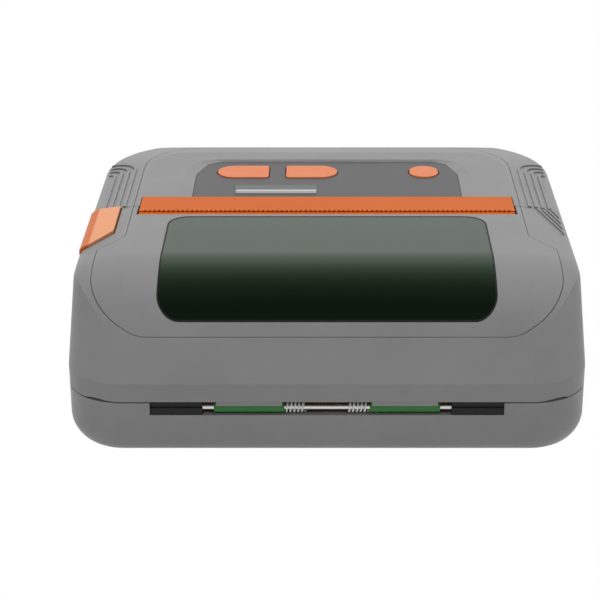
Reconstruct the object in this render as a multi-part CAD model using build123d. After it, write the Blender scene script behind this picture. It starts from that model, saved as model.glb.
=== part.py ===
from build123d import *
from math import acos, atan2, cos, degrees, pi, radians, sin, sqrt, tan
import os

# Mobile label printer, millimetres. +Z is up and the origin is on the table under the body's centre.
# The lid's hinge runs along X at the -Y side, the control panel is at the +Y side and the
# release lever is on the -X side.

# Whole body
BODY_HALF_WIDTH = 74.0
BODY_HALF_DEPTH = 71.0
TOP_Z = 50.0
FLOOR_Z = 0.8
WALL = 2.4
SKIN = 1.2
NEAR_CORNER_RADIUS = 16.0
FAR_CORNER_RADIUS = 28.0
BOTTOM_RADIUS = 9.0
FLOOR_TOP_Z = FLOOR_Z + WALL

# Clearances and laps
FIT_GAP = 0.3
RUNNING_FIT = 0.05
OVERRUN = 1.0
SHORT_LAP = 0.2
HAIR_GAP = 0.05
LONG = 400.0

# Upper form: crease, sloped near side, rounded crown, shoulders and leaning far wall
CREASE_Z = 24.4
NEAR_SLOPE_DEG = 54.0
CROWN_RADIUS = 33.0
WALL_LEAN_DEG = 1.6
SHOULDER_WIDTH = 15.3
SHOULDER_DEG = 8.0
SHOULDER_RADIUS = 3.6
SHOULDER_CUT_DEPTH = 6.0
SHOULDER_CUT_ABOVE = 6.0
FAR_EDGE_RADIUS = 12.0
CONE_MARGIN = 0.02
RISE = TOP_Z - CREASE_Z
HEAD_STEP = RISE * tan(radians(WALL_LEAN_DEG))
HEAD_SIDE_X = BODY_HALF_WIDTH - HEAD_STEP
HEAD_FAR_Y = BODY_HALF_DEPTH - HEAD_STEP
SHOULDER_START_X = HEAD_SIDE_X - SHOULDER_WIDTH
SLOPE_TOP_Z = TOP_Z - CROWN_RADIUS * (1 - cos(radians(NEAR_SLOPE_DEG)))
SLOPE_TOP_Y = (SLOPE_TOP_Z - CREASE_Z) / tan(radians(NEAR_SLOPE_DEG)) - BODY_HALF_DEPTH - CONE_MARGIN
CROWN_START_Y = SLOPE_TOP_Y + CROWN_RADIUS * sin(radians(NEAR_SLOPE_DEG))

# Seams between the shells
SEAM_Z = 18.6
SEAM_GAP = 0.3
CROSS_SEAM_Y = 3.4
CROSS_GAP = 0.3
SKIN_GAP = 0.15
LID_EDGE_Y = CROSS_SEAM_Y - CROSS_GAP / 2
FAR_EDGE_Y = CROSS_SEAM_Y + CROSS_GAP / 2

# Lid hinge, seen through the slot under the seam
HINGE_INSET = 1.8
HINGE_DROP = 2.0
HINGE_Y = HINGE_INSET - BODY_HALF_DEPTH
HINGE_Z = SEAM_Z - HINGE_DROP
SHAFT_RADIUS = 0.9
SHAFT_SEAT = 6.0
LID_HINGE_RADIUS = 2.86
TONGUE_RADIUS = 2.55
SLOT_HALF_WIDTH = 49.8
SLOT_HEIGHT = 3.8
SLOT_BOTTOM_Z = SEAM_Z - SLOT_HEIGHT
SLOT_INNER_Y = WALL + 0.1 - BODY_HALF_DEPTH
SPRING_START_X = 6.0
SPRING_LENGTH = 5.6
SPRING_TURNS = 5
SPRING_MEAN_RADIUS = 1.32
SPRING_WIRE_RADIUS = 0.27
SPRING_LEG = 1.4
SLEEVE_RADIUS = 1.5
SLEEVE_START_X = SPRING_START_X + SPRING_LENGTH + 0.4
SLEEVE_LENGTH = 19.8
SLEEVE_END_X = SLEEVE_START_X + SLEEVE_LENGTH
END_BLOCK_START_X = SLEEVE_END_X + 3.2
END_BLOCK_DEPTH = 4.4
END_BLOCK_FRONT = 1.55
END_BLOCK_STEP = 0.5
TROUGH_INNER_RADIUS = 2.1
TROUGH_WALL = 0.7
TROUGH_TAIL = 5.0
SHELF_DROP = 0.5
SHELF_THICKNESS = 2.7
SHELF_SIDE = 2.0
CLAMP_INSET = 0.6
CLAMP_FRONT = 1.3
CLAMP_BACK = 2.4
CLAMP_RISE = 6.0

# Top skin of the lid and its window
LID_TOP_HALF_WIDTH = BODY_HALF_WIDTH - 13.9
LID_TOP_WIDE_HALF = BODY_HALF_WIDTH - 6.4
LID_TOP_STEP_START_Y = -22.0
LID_TOP_STEP_END_Y = -30.5
LID_TOP_STEP_RADIUS = 3.0
LID_TOP_NEAR_Y = 8.0 - BODY_HALF_DEPTH
LID_TOP_CORNER_RADIUS = 17.0
LID_CENTRE_EDGE_Y = -4.3
WINDOW_HALF_WIDTH = LID_TOP_HALF_WIDTH - 11.8
WINDOW_FAR_Y = LID_CENTRE_EDGE_Y - 1.9
WINDOW_NEAR_Y = LID_TOP_NEAR_Y + 2.6
WINDOW_CORNER_RADIUS = 6.5
WINDOW_LEDGE = 2.6

# Far housing, its top skin, the tear bar and the control panel
SKIN_OVERREACH = 9.0
SQUARE_CORNER = 0.5
CONTROL_TOP_HALF_WIDTH = LID_TOP_HALF_WIDTH
CONTROL_TOP_FAR_Y = BODY_HALF_DEPTH - 8.0
CONTROL_TOP_CORNER_RADIUS = 23.0
TEAR_BAR_HALF_WIDTH = CONTROL_TOP_HALF_WIDTH - 2.1
TEAR_BAR_NEAR_Y = LID_CENTRE_EDGE_Y + 0.7
TEAR_BAR_FAR_Y = 10.8
TEAR_BAR_RISE = 0.2
TEAR_BAR_BOTTOM_Z = TOP_Z - WALL
TEAR_LIP_DEPTH = 1.7
TEAR_LIP_DROP = 0.4
TEAR_LIP_FALL = 0.3
TEAR_BAR_CHAMFER = 0.5
TOOTH_PITCH = 1.46
TOOTH_DEPTH = 1.1
TOOTH_GAP_SHARE = 0.55
TOOTH_TIP_SHARE = 0.25
TOOTH_HOLE_DEPTH = 0.8
NOTCH_HALF_WIDTH = TEAR_BAR_HALF_WIDTH + FIT_GAP
BAR_RAIL_HEIGHT = 3.0
BAR_RAIL_SIDE = 6.0
BAR_RAIL_LAP = 1.0
PANEL_HALF_WIDTH = CONTROL_TOP_HALF_WIDTH - 13.4
PANEL_FAR_Y = BODY_HALF_DEPTH - 23.4
PANEL_CORNER_WIDTH = 9.3
PANEL_CORNER_DEPTH = 13.6
PANEL_CORNER_STEP = 3.3
PANEL_CORNER_FALL = 2.6
PANEL_RADII = [6.0, 3.0, 4.0]
PANEL_BEVEL = 4.0
PANEL_FAR_BEVEL = 0.8
PANEL_DEPTH = 0.6
PANEL_PLATE_LAP = 0.6
BUTTON_GAP = 0.3
BUTTON_RISE = 0.4
BUTTON_TRAVEL = 0.6
BUTTON_FLANGE = 0.9
BUTTON_FLANGE_THICKNESS = 0.8
BUTTON_EDGE = 0.25
BUTTON_ROW_Y = PANEL_FAR_Y - 11.3
BUTTON_DEPTH = 11.4
BUTTON_WIDTH = 16.8
BUTTON_SQUARE_RADIUS = 1.2
FLANGE_TOP_Z = TOP_Z - WALL - BUTTON_GAP
BUTTON_PITCH = 22.4
FEED_BUTTON_X = 19.3 - PANEL_HALF_WIDTH
PAUSE_BUTTON_X = FEED_BUTTON_X + BUTTON_PITCH
POWER_BUTTON_X = PANEL_HALF_WIDTH - 15.0
POWER_BUTTON_WIDTH = 9.4
POWER_BUTTON_DEPTH = 10.8
SWITCH_RADIUS = 2.4
SWITCH_HEIGHT = 0.9
BUTTON_BOARD_INSET = 2.0
BUTTON_BOARD_HALF_DEPTH = 9.0
BUTTON_POST_RADIUS = 1.6
BUTTON_POST_INSET = 4.6
LIGHT_BAR_X = (FEED_BUTTON_X + PAUSE_BUTTON_X) / 2
LIGHT_BAR_Y = TEAR_BAR_FAR_Y + 8.0
LIGHT_BAR_WIDTH = 26.0
LIGHT_BAR_DEPTH = 5.0
LIGHT_BAR_HEIGHT = 1.0
LIGHT_BAR_CORNER = 0.8
LIGHT_BAR_EDGE = 0.4

# Grip ribs on the shoulders
RIB_HEIGHT = 0.5
RIB_ROOT = 0.3
RIB_WIDTH = 1.0
RIB_COUNT = 4
RIB_FIRST_X = LID_TOP_HALF_WIDTH + 3.0
RIB_END_X = BODY_HALF_WIDTH - 2.5
RIB_PITCH = (RIB_END_X - RIB_FIRST_X) / RIB_COUNT
RIB_ARM_Y = BODY_HALF_DEPTH - 25.4
RIB_ARM_PITCH = 3.2
RIB_LEAST_RADIUS = 2.0
LID_RIB_FIRST_X = LID_TOP_HALF_WIDTH + 5.4
LID_RIB_PITCH = 1.5
LID_RIB_WIDTH = 0.7
LID_RIB_DEG = 72.0
LID_RIB_SEAM_GAP = 0.8

# Release lever on the lid's left shoulder
LEVER_OUTER_X = BODY_HALF_WIDTH - 0.6
LEVER_WIDTH = 9.2
LEVER_INNER_X = LEVER_OUTER_X - LEVER_WIDTH
LEVER_SQUARE_WIDTH = 2.5
LEVER_INNER_NEAR_Y = -17.9
LEVER_OUTER_NEAR_Y = -27.5
LEVER_RISE = 0.8
LEVER_BOTTOM_Z = TOP_Z - 5.8
LEVER_GAP = 0.5
LEVER_CORNER = 1.5
LEVER_TURN_DEG = 10.0
LEVER_RELIEF_DEG = LEVER_TURN_DEG + 2.0
LEVER_PIN_Y = -20.0
LEVER_PIN_Z = TOP_Z - 3.6
LEVER_PIN_RADIUS = 0.8
LEVER_PIN_END = 1.6
LEVER_BOSS_HALF_DEPTH = 3.0
LEVER_BOSS_WIDTH = 3.6
LEVER_BOSS_DROP = 2.4

# Platen, print head and gear train
PLATEN_Y = -9.5
PLATEN_Z = 38.0
PLATEN_RADIUS = 4.5
PLATEN_HALF_LENGTH = BODY_HALF_WIDTH - 20.0
PLATEN_SHAFT_RADIUS = 2.0
PLATEN_SHAFT_END = 0.6
HOLDER_CHEEK_X = PLATEN_HALF_LENGTH + 3.0
CHEEK_THICKNESS = 2.5
CHEEK_OUTER_X = HOLDER_CHEEK_X + CHEEK_THICKNESS
HOLDER_BAR_HEIGHT = 3.2
HOLDER_FAR = 4.6
BUSH_RADIUS = 3.2
HEAD_GAP = 0.3
HEAD_THICKNESS = 2.2
HEAD_BOTTOM_Z = 32.6
HEAD_TOP_Z = 44.0
HEAD_SIDE = 1.0
HEAD_FACE_Y = PLATEN_Y + PLATEN_RADIUS + HEAD_GAP
DOT_LINE_RISE = 0.2
DOT_LINE_HALF_HEIGHT = 0.8
BRACKET_THICKNESS = 1.2
BRACKET_LIP = 0.2
LEAF_X = 30.0
LEAF_HALF_LENGTH = 12.0
LEAF_THICKNESS = 0.4
LEAF_WIDTH = 6.0
GEAR_MODULE = 0.5
PLATEN_TEETH = 24
IDLER_TEETH = 32
PINION_TEETH = 14
GEAR_BACKLASH = 0.14
GEAR_EXTRA_CENTRE = 0.1
GEAR_ADDENDUM = 0.85
GEAR_DEDENDUM = 1.2
GEAR_WIDTH = 3.0
PRESSURE_DEG = 20.0
PINION_DIRECTION_DEG = -8.0
IDLER_AXLE_RADIUS = 1.5
MOTOR_RADIUS = 8.8
MOTOR_LENGTH = 17.0
MOTOR_FLANGE = 1.2
MOTOR_SHAFT_RADIUS = 1.0
MOTOR_SHAFT_SEAT = 6.0
LATCH_Y = -19.5
LATCH_Z = 39.5
LATCH_SHAFT_RADIUS = 1.4
HOOK_THICKNESS = 2.0
CATCH_Z = 26.5
CATCH_RADIUS = 1.2
CATCH_OFFSET = 2.4

# Frame of the mechanism
FRAME_CHEEK_X = HOLDER_CHEEK_X + 0.4
FRAME_CHEEK_THICKNESS = 2.0
FRAME_OUTER_X = FRAME_CHEEK_X + FRAME_CHEEK_THICKNESS
FRAME_NEAR_Y = -20.0
FRAME_FAR_Y = 17.5
FRAME_TOP_Z = 32.2
FRAME_WALL_Y = 3.9
FRAME_WALL_THICKNESS = 2.2
FRAME_WALL_FAR_Y = FRAME_WALL_Y + FRAME_WALL_THICKNESS
FRAME_WALL_TOP_Z = TEAR_BAR_BOTTOM_Z - BAR_RAIL_HEIGHT
FRAME_RAIL_DEPTH = 3.0
FRAME_RAIL_HEIGHT = 5.0
MOTOR_HOLE_RADIUS = 2.2
GEAR_START_X = FRAME_OUTER_X + 1.2
GEAR_END_X = GEAR_START_X + GEAR_WIDTH
HOOK_START_X = GEAR_END_X + 1.9
HOOK_END_X = HOOK_START_X + HOOK_THICKNESS

# Paper bin and roll holders
BIN_HALF_LENGTH = PLATEN_HALF_LENGTH + 1.0
BIN_WALL = 2.0
BIN_NEAR_Y = 10.0 - BODY_HALF_DEPTH
BIN_FAR_Y = PLATEN_Y - 5.1
BIN_RIM_Z = 17.4
BIN_RADIUS = 20.0
BIN_EDGE_RADIUS = 5.0
ROLL_Y = (BIN_NEAR_Y + BIN_FAR_Y) / 2 + 0.3
ROLL_Z = 27.0
GUIDE_SLOT_WIDTH = 5.0
GUIDE_SLOT_Z = ROLL_Z - BIN_RADIUS - 2.4
HOLDER_X = BIN_HALF_LENGTH - 6.0
HOLDER_THICKNESS = 2.0
HOLDER_DISC_RADIUS = 9.0
HOLDER_HUB_RADIUS = 6.0
HOLDER_HUB_TAPER = 1.0
HOLDER_HUB_LENGTH = 3.0
HOLDER_STEM_HEIGHT = 6.0
HOLDER_FOOT_LENGTH = 5.0
HOLDER_FOOT_HEIGHT = 1.6
SENSOR_X = -8.0
SENSOR_HALF_WIDTH = 4.0
SENSOR_DEPTH = 3.0
SENSOR_HEIGHT = 3.0
SENSOR_EDGE = 0.6

# Battery, boards and port
BATTERY_MIN_X = 27.0 - BODY_HALF_WIDTH
BATTERY_MAX_X = BODY_HALF_WIDTH - 46.0
BATTERY_NEAR_Y = FRAME_FAR_Y + 3.5
BATTERY_FAR_Y = BODY_HALF_DEPTH - 14.0
BATTERY_HEIGHT = 22.0
BATTERY_GAP = 1.0
BATTERY_EDGE_RADIUS = 3.0
COVER_CORNER = 1.5
FINGER_HALF_WIDTH = 8.0
FINGER_DEPTH = 2.2
FINGER_HEIGHT = 1.2
BOARD_THICKNESS = 1.6
BOARD_Z = 8.8
BOARD_TOP_Z = BOARD_Z + BOARD_THICKNESS
BOARD_MIN_X = BATTERY_MAX_X + 3.0
BOARD_MAX_X = BODY_HALF_WIDTH - 6.0
BOARD_NEAR_Y = BATTERY_NEAR_Y
BOARD_FAR_Y = BATTERY_FAR_Y - 9.0
BOARD_POST_RADIUS = 1.8
BOARD_POST_INSET = 3.0
BOARD_POST_SIDE = 5.0
CHIP_INSET = 6.0
CHIP_SIDE = 12.0
CHIP_HEIGHT = 1.6
CONNECTOR_WIDTH = 16.0
CONNECTOR_DEPTH = 4.0
CONNECTOR_HEIGHT = 4.0
PORT_Y = BOARD_FAR_Y - 12.0
PORT_WIDTH = 12.6
PORT_BOTTOM_Z = 10.2
PORT_HEIGHT = 6.4
PORT_COVER_THICKNESS = 1.4
PORT_COVER_CORNER = 1.0
SOCKET_WIDTH = 9.0
SOCKET_HEIGHT = 3.2
SOCKET_WALL = 0.3
SOCKET_LENGTH = 7.5

# Feet and screws
FOOT_RADIUS = 5.0
FOOT_RECESS = 0.8
FOOT_FIT = 0.1
FOOT_X = BODY_HALF_WIDTH - 17.0
FOOT_Y = BODY_HALF_DEPTH - 21.0
SCREW_RADIUS = 1.25
SCREW_HEAD_RADIUS = 2.5
SCREW_HEAD_HEIGHT = 1.6
SCREW_HEAD_INSET = 0.3
SCREW_HEAD_FIT = 0.2
SCREW_BOSS_RADIUS = 3.6
SCREW_LENGTH = 13.0
SCREW_FAR_X = BODY_HALF_WIDTH - 10.8
SCREW_FAR_Y = 12.0
SCREW_NEAR_X = BODY_HALF_WIDTH - 12.0
SCREW_NEAR_Y = 29.0 - BODY_HALF_DEPTH


def save(shape, node):
    export_step(shape, os.path.join("parts", node + ".step"))


def box(x0, x1, y0, y1, z0, z1):
    """A plain block between two corners."""
    block = Box(x1 - x0, y1 - y0, z1 - z0, align=(Align.MIN, Align.MIN, Align.MIN))
    return Pos(x0, y0, z0) * block


def rod(radius, x0, x1, y, z):
    """A round bar along X."""
    bar = Cylinder(radius, x1 - x0, align=(Align.CENTER, Align.CENTER, Align.MIN))
    return Pos(x0, y, z) * Rot(0, 90, 0) * bar


def post(radius, x, y, z0, z1):
    """A round bar along Z."""
    return Pos(x, y, z0) * Cylinder(radius, z1 - z0, align=(Align.CENTER, Align.CENTER, Align.MIN))


def rounded_plan(points, radii):
    """A flat outline in plan with each corner rounded by its own radius."""
    return make_face(FilletPolyline(*points, radius=radii, close=True))


def prism(face, z0, z1):
    return extrude(Pos(0, 0, z0) * face, z1 - z0)


def plate(points, x0, x1):
    """A flat plate across X whose outline is given in Y and Z."""
    return Pos(x0, 0, 0) * extrude(Plane.YZ * make_face(Polyline(*points, close=True)), x1 - x0)


def body_plan(side, near, far, far_radius, inset):
    corners = [(-side + inset, near + inset), (side - inset, near + inset),
               (side - inset, far - inset), (-side + inset, far - inset)]
    radii = [NEAR_CORNER_RADIUS, NEAR_CORNER_RADIUS, far_radius, far_radius]
    return rounded_plan(corners, [radius - inset for radius in radii])


def crown_profile():
    """The near slope, crown, flat top and far wall, drawn in Y and Z."""
    slope = radians(NEAR_SLOPE_DEG)
    centre_z = TOP_Z - CROWN_RADIUS
    far_y = HEAD_FAR_Y + CONE_MARGIN
    middle = (CROWN_START_Y - CROWN_RADIUS * sin(slope / 2), centre_z + CROWN_RADIUS * cos(slope / 2))
    slope_top = (SLOPE_TOP_Y, SLOPE_TOP_Z)
    slope_foot = (SLOPE_TOP_Y - (SLOPE_TOP_Z + TOP_Z) / tan(slope), -TOP_Z)
    far_top = (far_y, TOP_Z)
    far_foot = (far_y + 2 * TOP_Z * tan(radians(WALL_LEAN_DEG)), -TOP_Z)
    outline = (Line((CROWN_START_Y, TOP_Z), far_top)
               + Line(far_top, far_foot)
               + Line(far_foot, slope_foot)
               + Line(slope_foot, slope_top)
               + ThreePointArc(slope_top, middle, (CROWN_START_Y, TOP_Z)))
    face = make_face(outline)
    corner = face.vertices().sort_by_distance(far_top)[0]
    return fillet(corner, FAR_EDGE_RADIUS)


def shoulder_section(inset):
    """What the right shoulder takes off the body, in X and in height over the top surface."""
    lean = tan(radians(WALL_LEAN_DEG))
    drop = tan(radians(SHOULDER_DEG))
    start_x = SHOULDER_START_X - inset * tan(radians(SHOULDER_DEG / 2))
    side_x = HEAD_SIDE_X + CONE_MARGIN - inset / cos(radians(WALL_LEAN_DEG))
    corner_x = (side_x + (inset - start_x * drop) * lean) / (1 - drop * lean)
    corner = (corner_x, (start_x - corner_x) * drop - inset)
    outline = Polyline((start_x, -inset), corner, (side_x + SHOULDER_CUT_DEPTH * lean, -SHOULDER_CUT_DEPTH),
                       (LONG / 2, -SHOULDER_CUT_DEPTH), (LONG / 2, SHOULDER_CUT_ABOVE),
                       (start_x, SHOULDER_CUT_ABOVE), close=True)
    face = make_face(outline)
    return fillet(face.vertices().sort_by_distance(corner)[0], SHOULDER_RADIUS - inset)


def shoulder_cuts(inset):
    """The shoulder's section led down the near slope, over the crown, round the far corner and across."""
    centre_x = BODY_HALF_WIDTH - FAR_CORNER_RADIUS
    centre_y = BODY_HALF_DEPTH - FAR_CORNER_RADIUS
    section = Plane.XZ * shoulder_section(inset)
    crown_axis = Axis((0, CROWN_START_Y, TOP_Z - CROWN_RADIUS), (1, 0, 0))
    corner_axis = Axis((centre_x, centre_y, 0), (0, 0, 1))
    slope = radians(NEAR_SLOPE_DEG)
    crown_section = Pos(0, CROWN_START_Y, TOP_Z) * section
    corner_section = Pos(0, centre_y, TOP_Z) * section
    slope_section = crown_section.rotate(crown_axis, NEAR_SLOPE_DEG)
    far_section = corner_section.rotate(corner_axis, 90)
    right = [extrude(slope_section, LONG / 4, dir=(0, -cos(slope), -sin(slope))),
             revolve(crown_section, crown_axis, NEAR_SLOPE_DEG),
             extrude(crown_section, centre_y - CROWN_START_Y, dir=(0, 1, 0)),
             revolve(corner_section, corner_axis, 90),
             extrude(far_section, centre_x, dir=(-1, 0, 0))]
    return right + [mirror(cut, Plane.YZ) for cut in right]


def envelope(inset):
    """The whole outer form, or the same form with every surface moved inward by the inset."""
    side = BODY_HALF_WIDTH
    depth = BODY_HALF_DEPTH
    near_step = RISE / tan(radians(NEAR_SLOPE_DEG))
    foot_plan = body_plan(side, -depth, depth, FAR_CORNER_RADIUS, inset)
    head_plan = body_plan(HEAD_SIDE_X, near_step - depth, HEAD_FAR_Y, FAR_CORNER_RADIUS - HEAD_STEP, inset)
    lower = prism(foot_plan, FLOOR_Z + inset, CREASE_Z)
    lower = fillet(lower.edges().group_by(Axis.Z)[0], BOTTOM_RADIUS - inset)
    upper = loft([Pos(0, 0, CREASE_Z) * foot_plan, Pos(0, 0, TOP_Z) * head_plan], ruled=True)
    crown = offset(crown_profile(), -inset) if inset else crown_profile()
    upper = upper & extrude(Plane.YZ * crown, LONG / 2, both=True)
    return lower + (upper - shoulder_cuts(inset))


def band(outer_inset, inner_inset):
    """The layer of the body's form between two depths."""
    return envelope(outer_inset) - envelope(inner_inset)


def through(points, radii):
    """A tall prism on a rounded outline in plan, for cutting the shells."""
    return prism(rounded_plan(points, radii), SEAM_Z - OVERRUN, TOP_Z + SHOULDER_CUT_ABOVE)


def mirrored(points):
    """A closed outline from its right half, listed from the near side round to the far side."""
    return points + [(-x, y) for x, y in reversed(points)]


def capsule_plan(x, y, width, depth, left_radius, right_radius):
    corners = [(x - width / 2, y - depth / 2), (x + width / 2, y - depth / 2),
               (x + width / 2, y + depth / 2), (x - width / 2, y + depth / 2)]
    return rounded_plan(corners, [left_radius, right_radius, right_radius, left_radius])


def lid_top_plan(grow):
    half = LID_TOP_HALF_WIDTH + grow
    wide = LID_TOP_WIDE_HALF + grow
    near = LID_TOP_NEAR_Y - grow
    points = mirrored([(wide, near), (wide, LID_TOP_STEP_END_Y), (half, LID_TOP_STEP_START_Y),
                       (half, CROSS_SEAM_Y + SKIN_OVERREACH)])
    radii = [LID_TOP_CORNER_RADIUS, LID_TOP_STEP_RADIUS, LID_TOP_STEP_RADIUS, SQUARE_CORNER]
    return through(points, radii + radii[::-1])


def window_plan(grow):
    half = WINDOW_HALF_WIDTH + grow
    points = mirrored([(half, WINDOW_NEAR_Y - grow), (half, WINDOW_FAR_Y + grow)])
    return through(points, [WINDOW_CORNER_RADIUS + grow] * len(points))


def control_top_plan(grow):
    half = CONTROL_TOP_HALF_WIDTH + grow
    points = mirrored([(half, CROSS_SEAM_Y - SKIN_OVERREACH), (half, CONTROL_TOP_FAR_Y + grow)])
    radii = [SQUARE_CORNER, CONTROL_TOP_CORNER_RADIUS, CONTROL_TOP_CORNER_RADIUS, SQUARE_CORNER]
    return through(points, radii)


def panel_plan(side_inset, far_inset):
    half = PANEL_HALF_WIDTH - side_inset
    far = PANEL_FAR_Y - far_inset
    corner_x = PANEL_HALF_WIDTH - PANEL_CORNER_WIDTH - side_inset / 2
    right = [(half, CROSS_SEAM_Y - OVERRUN), (half, PANEL_FAR_Y - PANEL_CORNER_DEPTH),
             (half - PANEL_CORNER_STEP, far - PANEL_CORNER_FALL), (corner_x, far)]
    radii = [SQUARE_CORNER, *PANEL_RADII]
    return rounded_plan(mirrored(right), radii + radii[::-1])


def lever_plan(grow):
    """The lever's outline, or with some growth the pocket's, which runs out over the cross seam."""
    inner = LEVER_INNER_X - grow
    outer = BODY_HALF_WIDTH + SKIN_OVERREACH
    far = CROSS_SEAM_Y + SKIN_OVERREACH if grow else LID_EDGE_Y - FIT_GAP / 2
    points = [(-outer, far), (-outer, LEVER_OUTER_NEAR_Y - grow),
              (LEVER_SQUARE_WIDTH - LEVER_OUTER_X, LEVER_OUTER_NEAR_Y - grow),
              (-inner, LEVER_INNER_NEAR_Y - grow), (-inner, far)]
    return rounded_plan(points, [SQUARE_CORNER, SQUARE_CORNER, LEVER_CORNER, LEVER_CORNER, SQUARE_CORNER])


def lid_region():
    """The space that the lid's shell fills: over the seam and on the hinge side of the cross seam."""
    shoulders = box(-LONG, LONG, -LONG, LID_EDGE_Y, SEAM_Z + SEAM_GAP, LONG)
    half = NOTCH_HALF_WIDTH + FIT_GAP
    notch = box(-half, half, LID_CENTRE_EDGE_Y, LONG, SEAM_Z, LONG)
    return shoulders - notch - rod(LID_HINGE_RADIUS, -LONG, LONG, HINGE_Y, HINGE_Z)


def make_window_lens(skin_layer):
    return skin_layer & window_plan(-SKIN_GAP)


def make_lid_top(skin_layer):
    return (skin_layer & lid_top_plan(0) & lid_region()) - window_plan(0)


def hinge_saddles():
    """The lid's two clamps, which reach down from its near edge onto the hinge sleeves."""
    clamps = Part()
    for side in (-1, 1):
        x0, x1 = sorted((side * (SLEEVE_START_X + CLAMP_INSET), side * (SLEEVE_END_X - CLAMP_INSET)))
        clamp = box(x0, x1, HINGE_Y - CLAMP_FRONT, HINGE_Y + CLAMP_BACK,
                    HINGE_Z + SHAFT_RADIUS / 2, HINGE_Z + CLAMP_RISE)
        clamps += clamp - rod(SLEEVE_RADIUS, x0 - OVERRUN, x1 + OVERRUN, HINGE_Y, HINGE_Z)
    return clamps


def make_lid_shell(outer, inner, recess_layer):
    shell = (outer - inner) & lid_region()
    shell -= recess_layer & lid_top_plan(SKIN_GAP)
    shell -= window_plan(-WINDOW_LEDGE)
    shell -= prism(lever_plan(LEVER_GAP), LEVER_BOTTOM_Z - LEVER_GAP, LONG)
    shell += hinge_saddles() & outer
    boss = box(LEVER_GAP - LEVER_INNER_X, LEVER_GAP - LEVER_INNER_X + LEVER_BOSS_WIDTH,
               LEVER_PIN_Y - LEVER_BOSS_HALF_DEPTH, LEVER_PIN_Y + LEVER_BOSS_HALF_DEPTH,
               LEVER_PIN_Z - LEVER_BOSS_DROP, TOP_Z)
    shell += boss & envelope(SKIN)
    shell -= rod(LEVER_PIN_RADIUS, -LEVER_INNER_X - OVERRUN, LEVER_BOSS_WIDTH + OVERRUN - LEVER_INNER_X,
                 LEVER_PIN_Y, LEVER_PIN_Z)
    return shell + lid_ribs()


def rib_strip(points, radius, width):
    path = FilletPolyline(*points, radius=radius) if len(points) > 2 else Line(*points)
    return prism(trace(path, width), SEAM_Z, LONG / 2)


def rib_region(y0, y1):
    """Where the grip ribs may stand: up to the rounding of the shoulders."""
    return box(-RIB_END_X, RIB_END_X, y0, y1, CREASE_Z, LONG)


def far_ribs():
    """Concentric ribs on both far shoulders: a straight run that turns outward to the side."""
    strips = Part()
    for side in (-1, 1):
        for index in range(RIB_COUNT):
            x = RIB_FIRST_X + index * RIB_PITCH
            arm_y = RIB_ARM_Y - index * RIB_ARM_PITCH
            radius = max(RIB_LEAST_RADIUS, RIB_END_X - x - RIB_PITCH / 2)
            points = [(side * x, CROSS_SEAM_Y), (side * x, arm_y), (side * BODY_HALF_WIDTH, arm_y)]
            strips += rib_strip(points, radius, RIB_WIDTH)
    return band(-RIB_HEIGHT, RIB_ROOT) & strips & rib_region(FAR_EDGE_Y, LONG)


def lid_ribs():
    """Slanting ribs on the lid's right shoulder, from the cross seam out to the side."""
    strips = Part()
    y0 = LID_EDGE_Y - LID_RIB_SEAM_GAP
    for index in range(RIB_COUNT):
        x = LID_RIB_FIRST_X + index * LID_RIB_PITCH
        run = BODY_HALF_WIDTH - x
        strips += rib_strip([(x, y0), (x + run, y0 - run * tan(radians(LID_RIB_DEG)))], 0, LID_RIB_WIDTH)
    return band(-RIB_HEIGHT, RIB_ROOT) & strips & rib_region(-LONG, y0)


def make_lever():
    """The lever follows the body's form, a little proud, and its underside clears the shell as it lifts."""
    lever = envelope(-LEVER_RISE) & prism(lever_plan(0), LEVER_BOTTOM_Z, LONG)
    lever = lever & box(-LEVER_OUTER_X, 0, -LONG, LONG, 0, LONG)
    run = LEVER_PIN_Y - LEVER_OUTER_NEAR_Y + OVERRUN
    low = LEVER_BOTTOM_Z
    relief = plate([(LEVER_PIN_Y, low), (LEVER_PIN_Y - run, low),
                    (LEVER_PIN_Y - run, low + run * tan(radians(LEVER_RELIEF_DEG)))], -LONG, 0)
    bore = rod(LEVER_PIN_RADIUS + RUNNING_FIT, LEVER_PIN_END - SHORT_LAP - LEVER_OUTER_X, 0,
               LEVER_PIN_Y, LEVER_PIN_Z)
    return lever - relief - bore


def make_lever_pin():
    return rod(LEVER_PIN_RADIUS, LEVER_PIN_END - LEVER_OUTER_X, LEVER_BOSS_WIDTH - LEVER_INNER_X,
               LEVER_PIN_Y, LEVER_PIN_Z)


def bar_notch():
    """The seat that the tear bar drops into, open to the near side."""
    return box(-NOTCH_HALF_WIDTH, NOTCH_HALF_WIDTH, -LONG, TEAR_BAR_FAR_Y + FIT_GAP, TEAR_BAR_BOTTOM_Z, LONG)


def make_far_housing(outer, inner, recess_layer):
    region = box(-LONG, LONG, FAR_EDGE_Y, LONG, SEAM_Z + SEAM_GAP / 3, LONG)
    shell = (outer - inner) & region
    shell -= recess_layer & control_top_plan(SKIN_GAP)
    grow = PANEL_PLATE_LAP + SKIN_GAP
    shell -= prism(panel_plan(PANEL_BEVEL - grow, PANEL_FAR_BEVEL - grow), TOP_Z - WALL - OVERRUN, LONG)
    rail_half = TEAR_BAR_HALF_WIDTH + BAR_RAIL_SIDE
    rail = box(-rail_half, rail_half, FAR_EDGE_Y, TEAR_BAR_FAR_Y + FIT_GAP,
               TEAR_BAR_BOTTOM_Z - BAR_RAIL_HEIGHT, TEAR_BAR_BOTTOM_Z + SHORT_LAP)
    shell += rail & envelope(SKIN)
    shell -= bar_notch()
    shell += box(-rail_half, rail_half, TEAR_BAR_FAR_Y, TEAR_BAR_FAR_Y + FIT_GAP + BAR_RAIL_LAP,
                 TEAR_BAR_BOTTOM_Z - BAR_RAIL_HEIGHT, TEAR_BAR_BOTTOM_Z)
    return shell + far_ribs()


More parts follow.
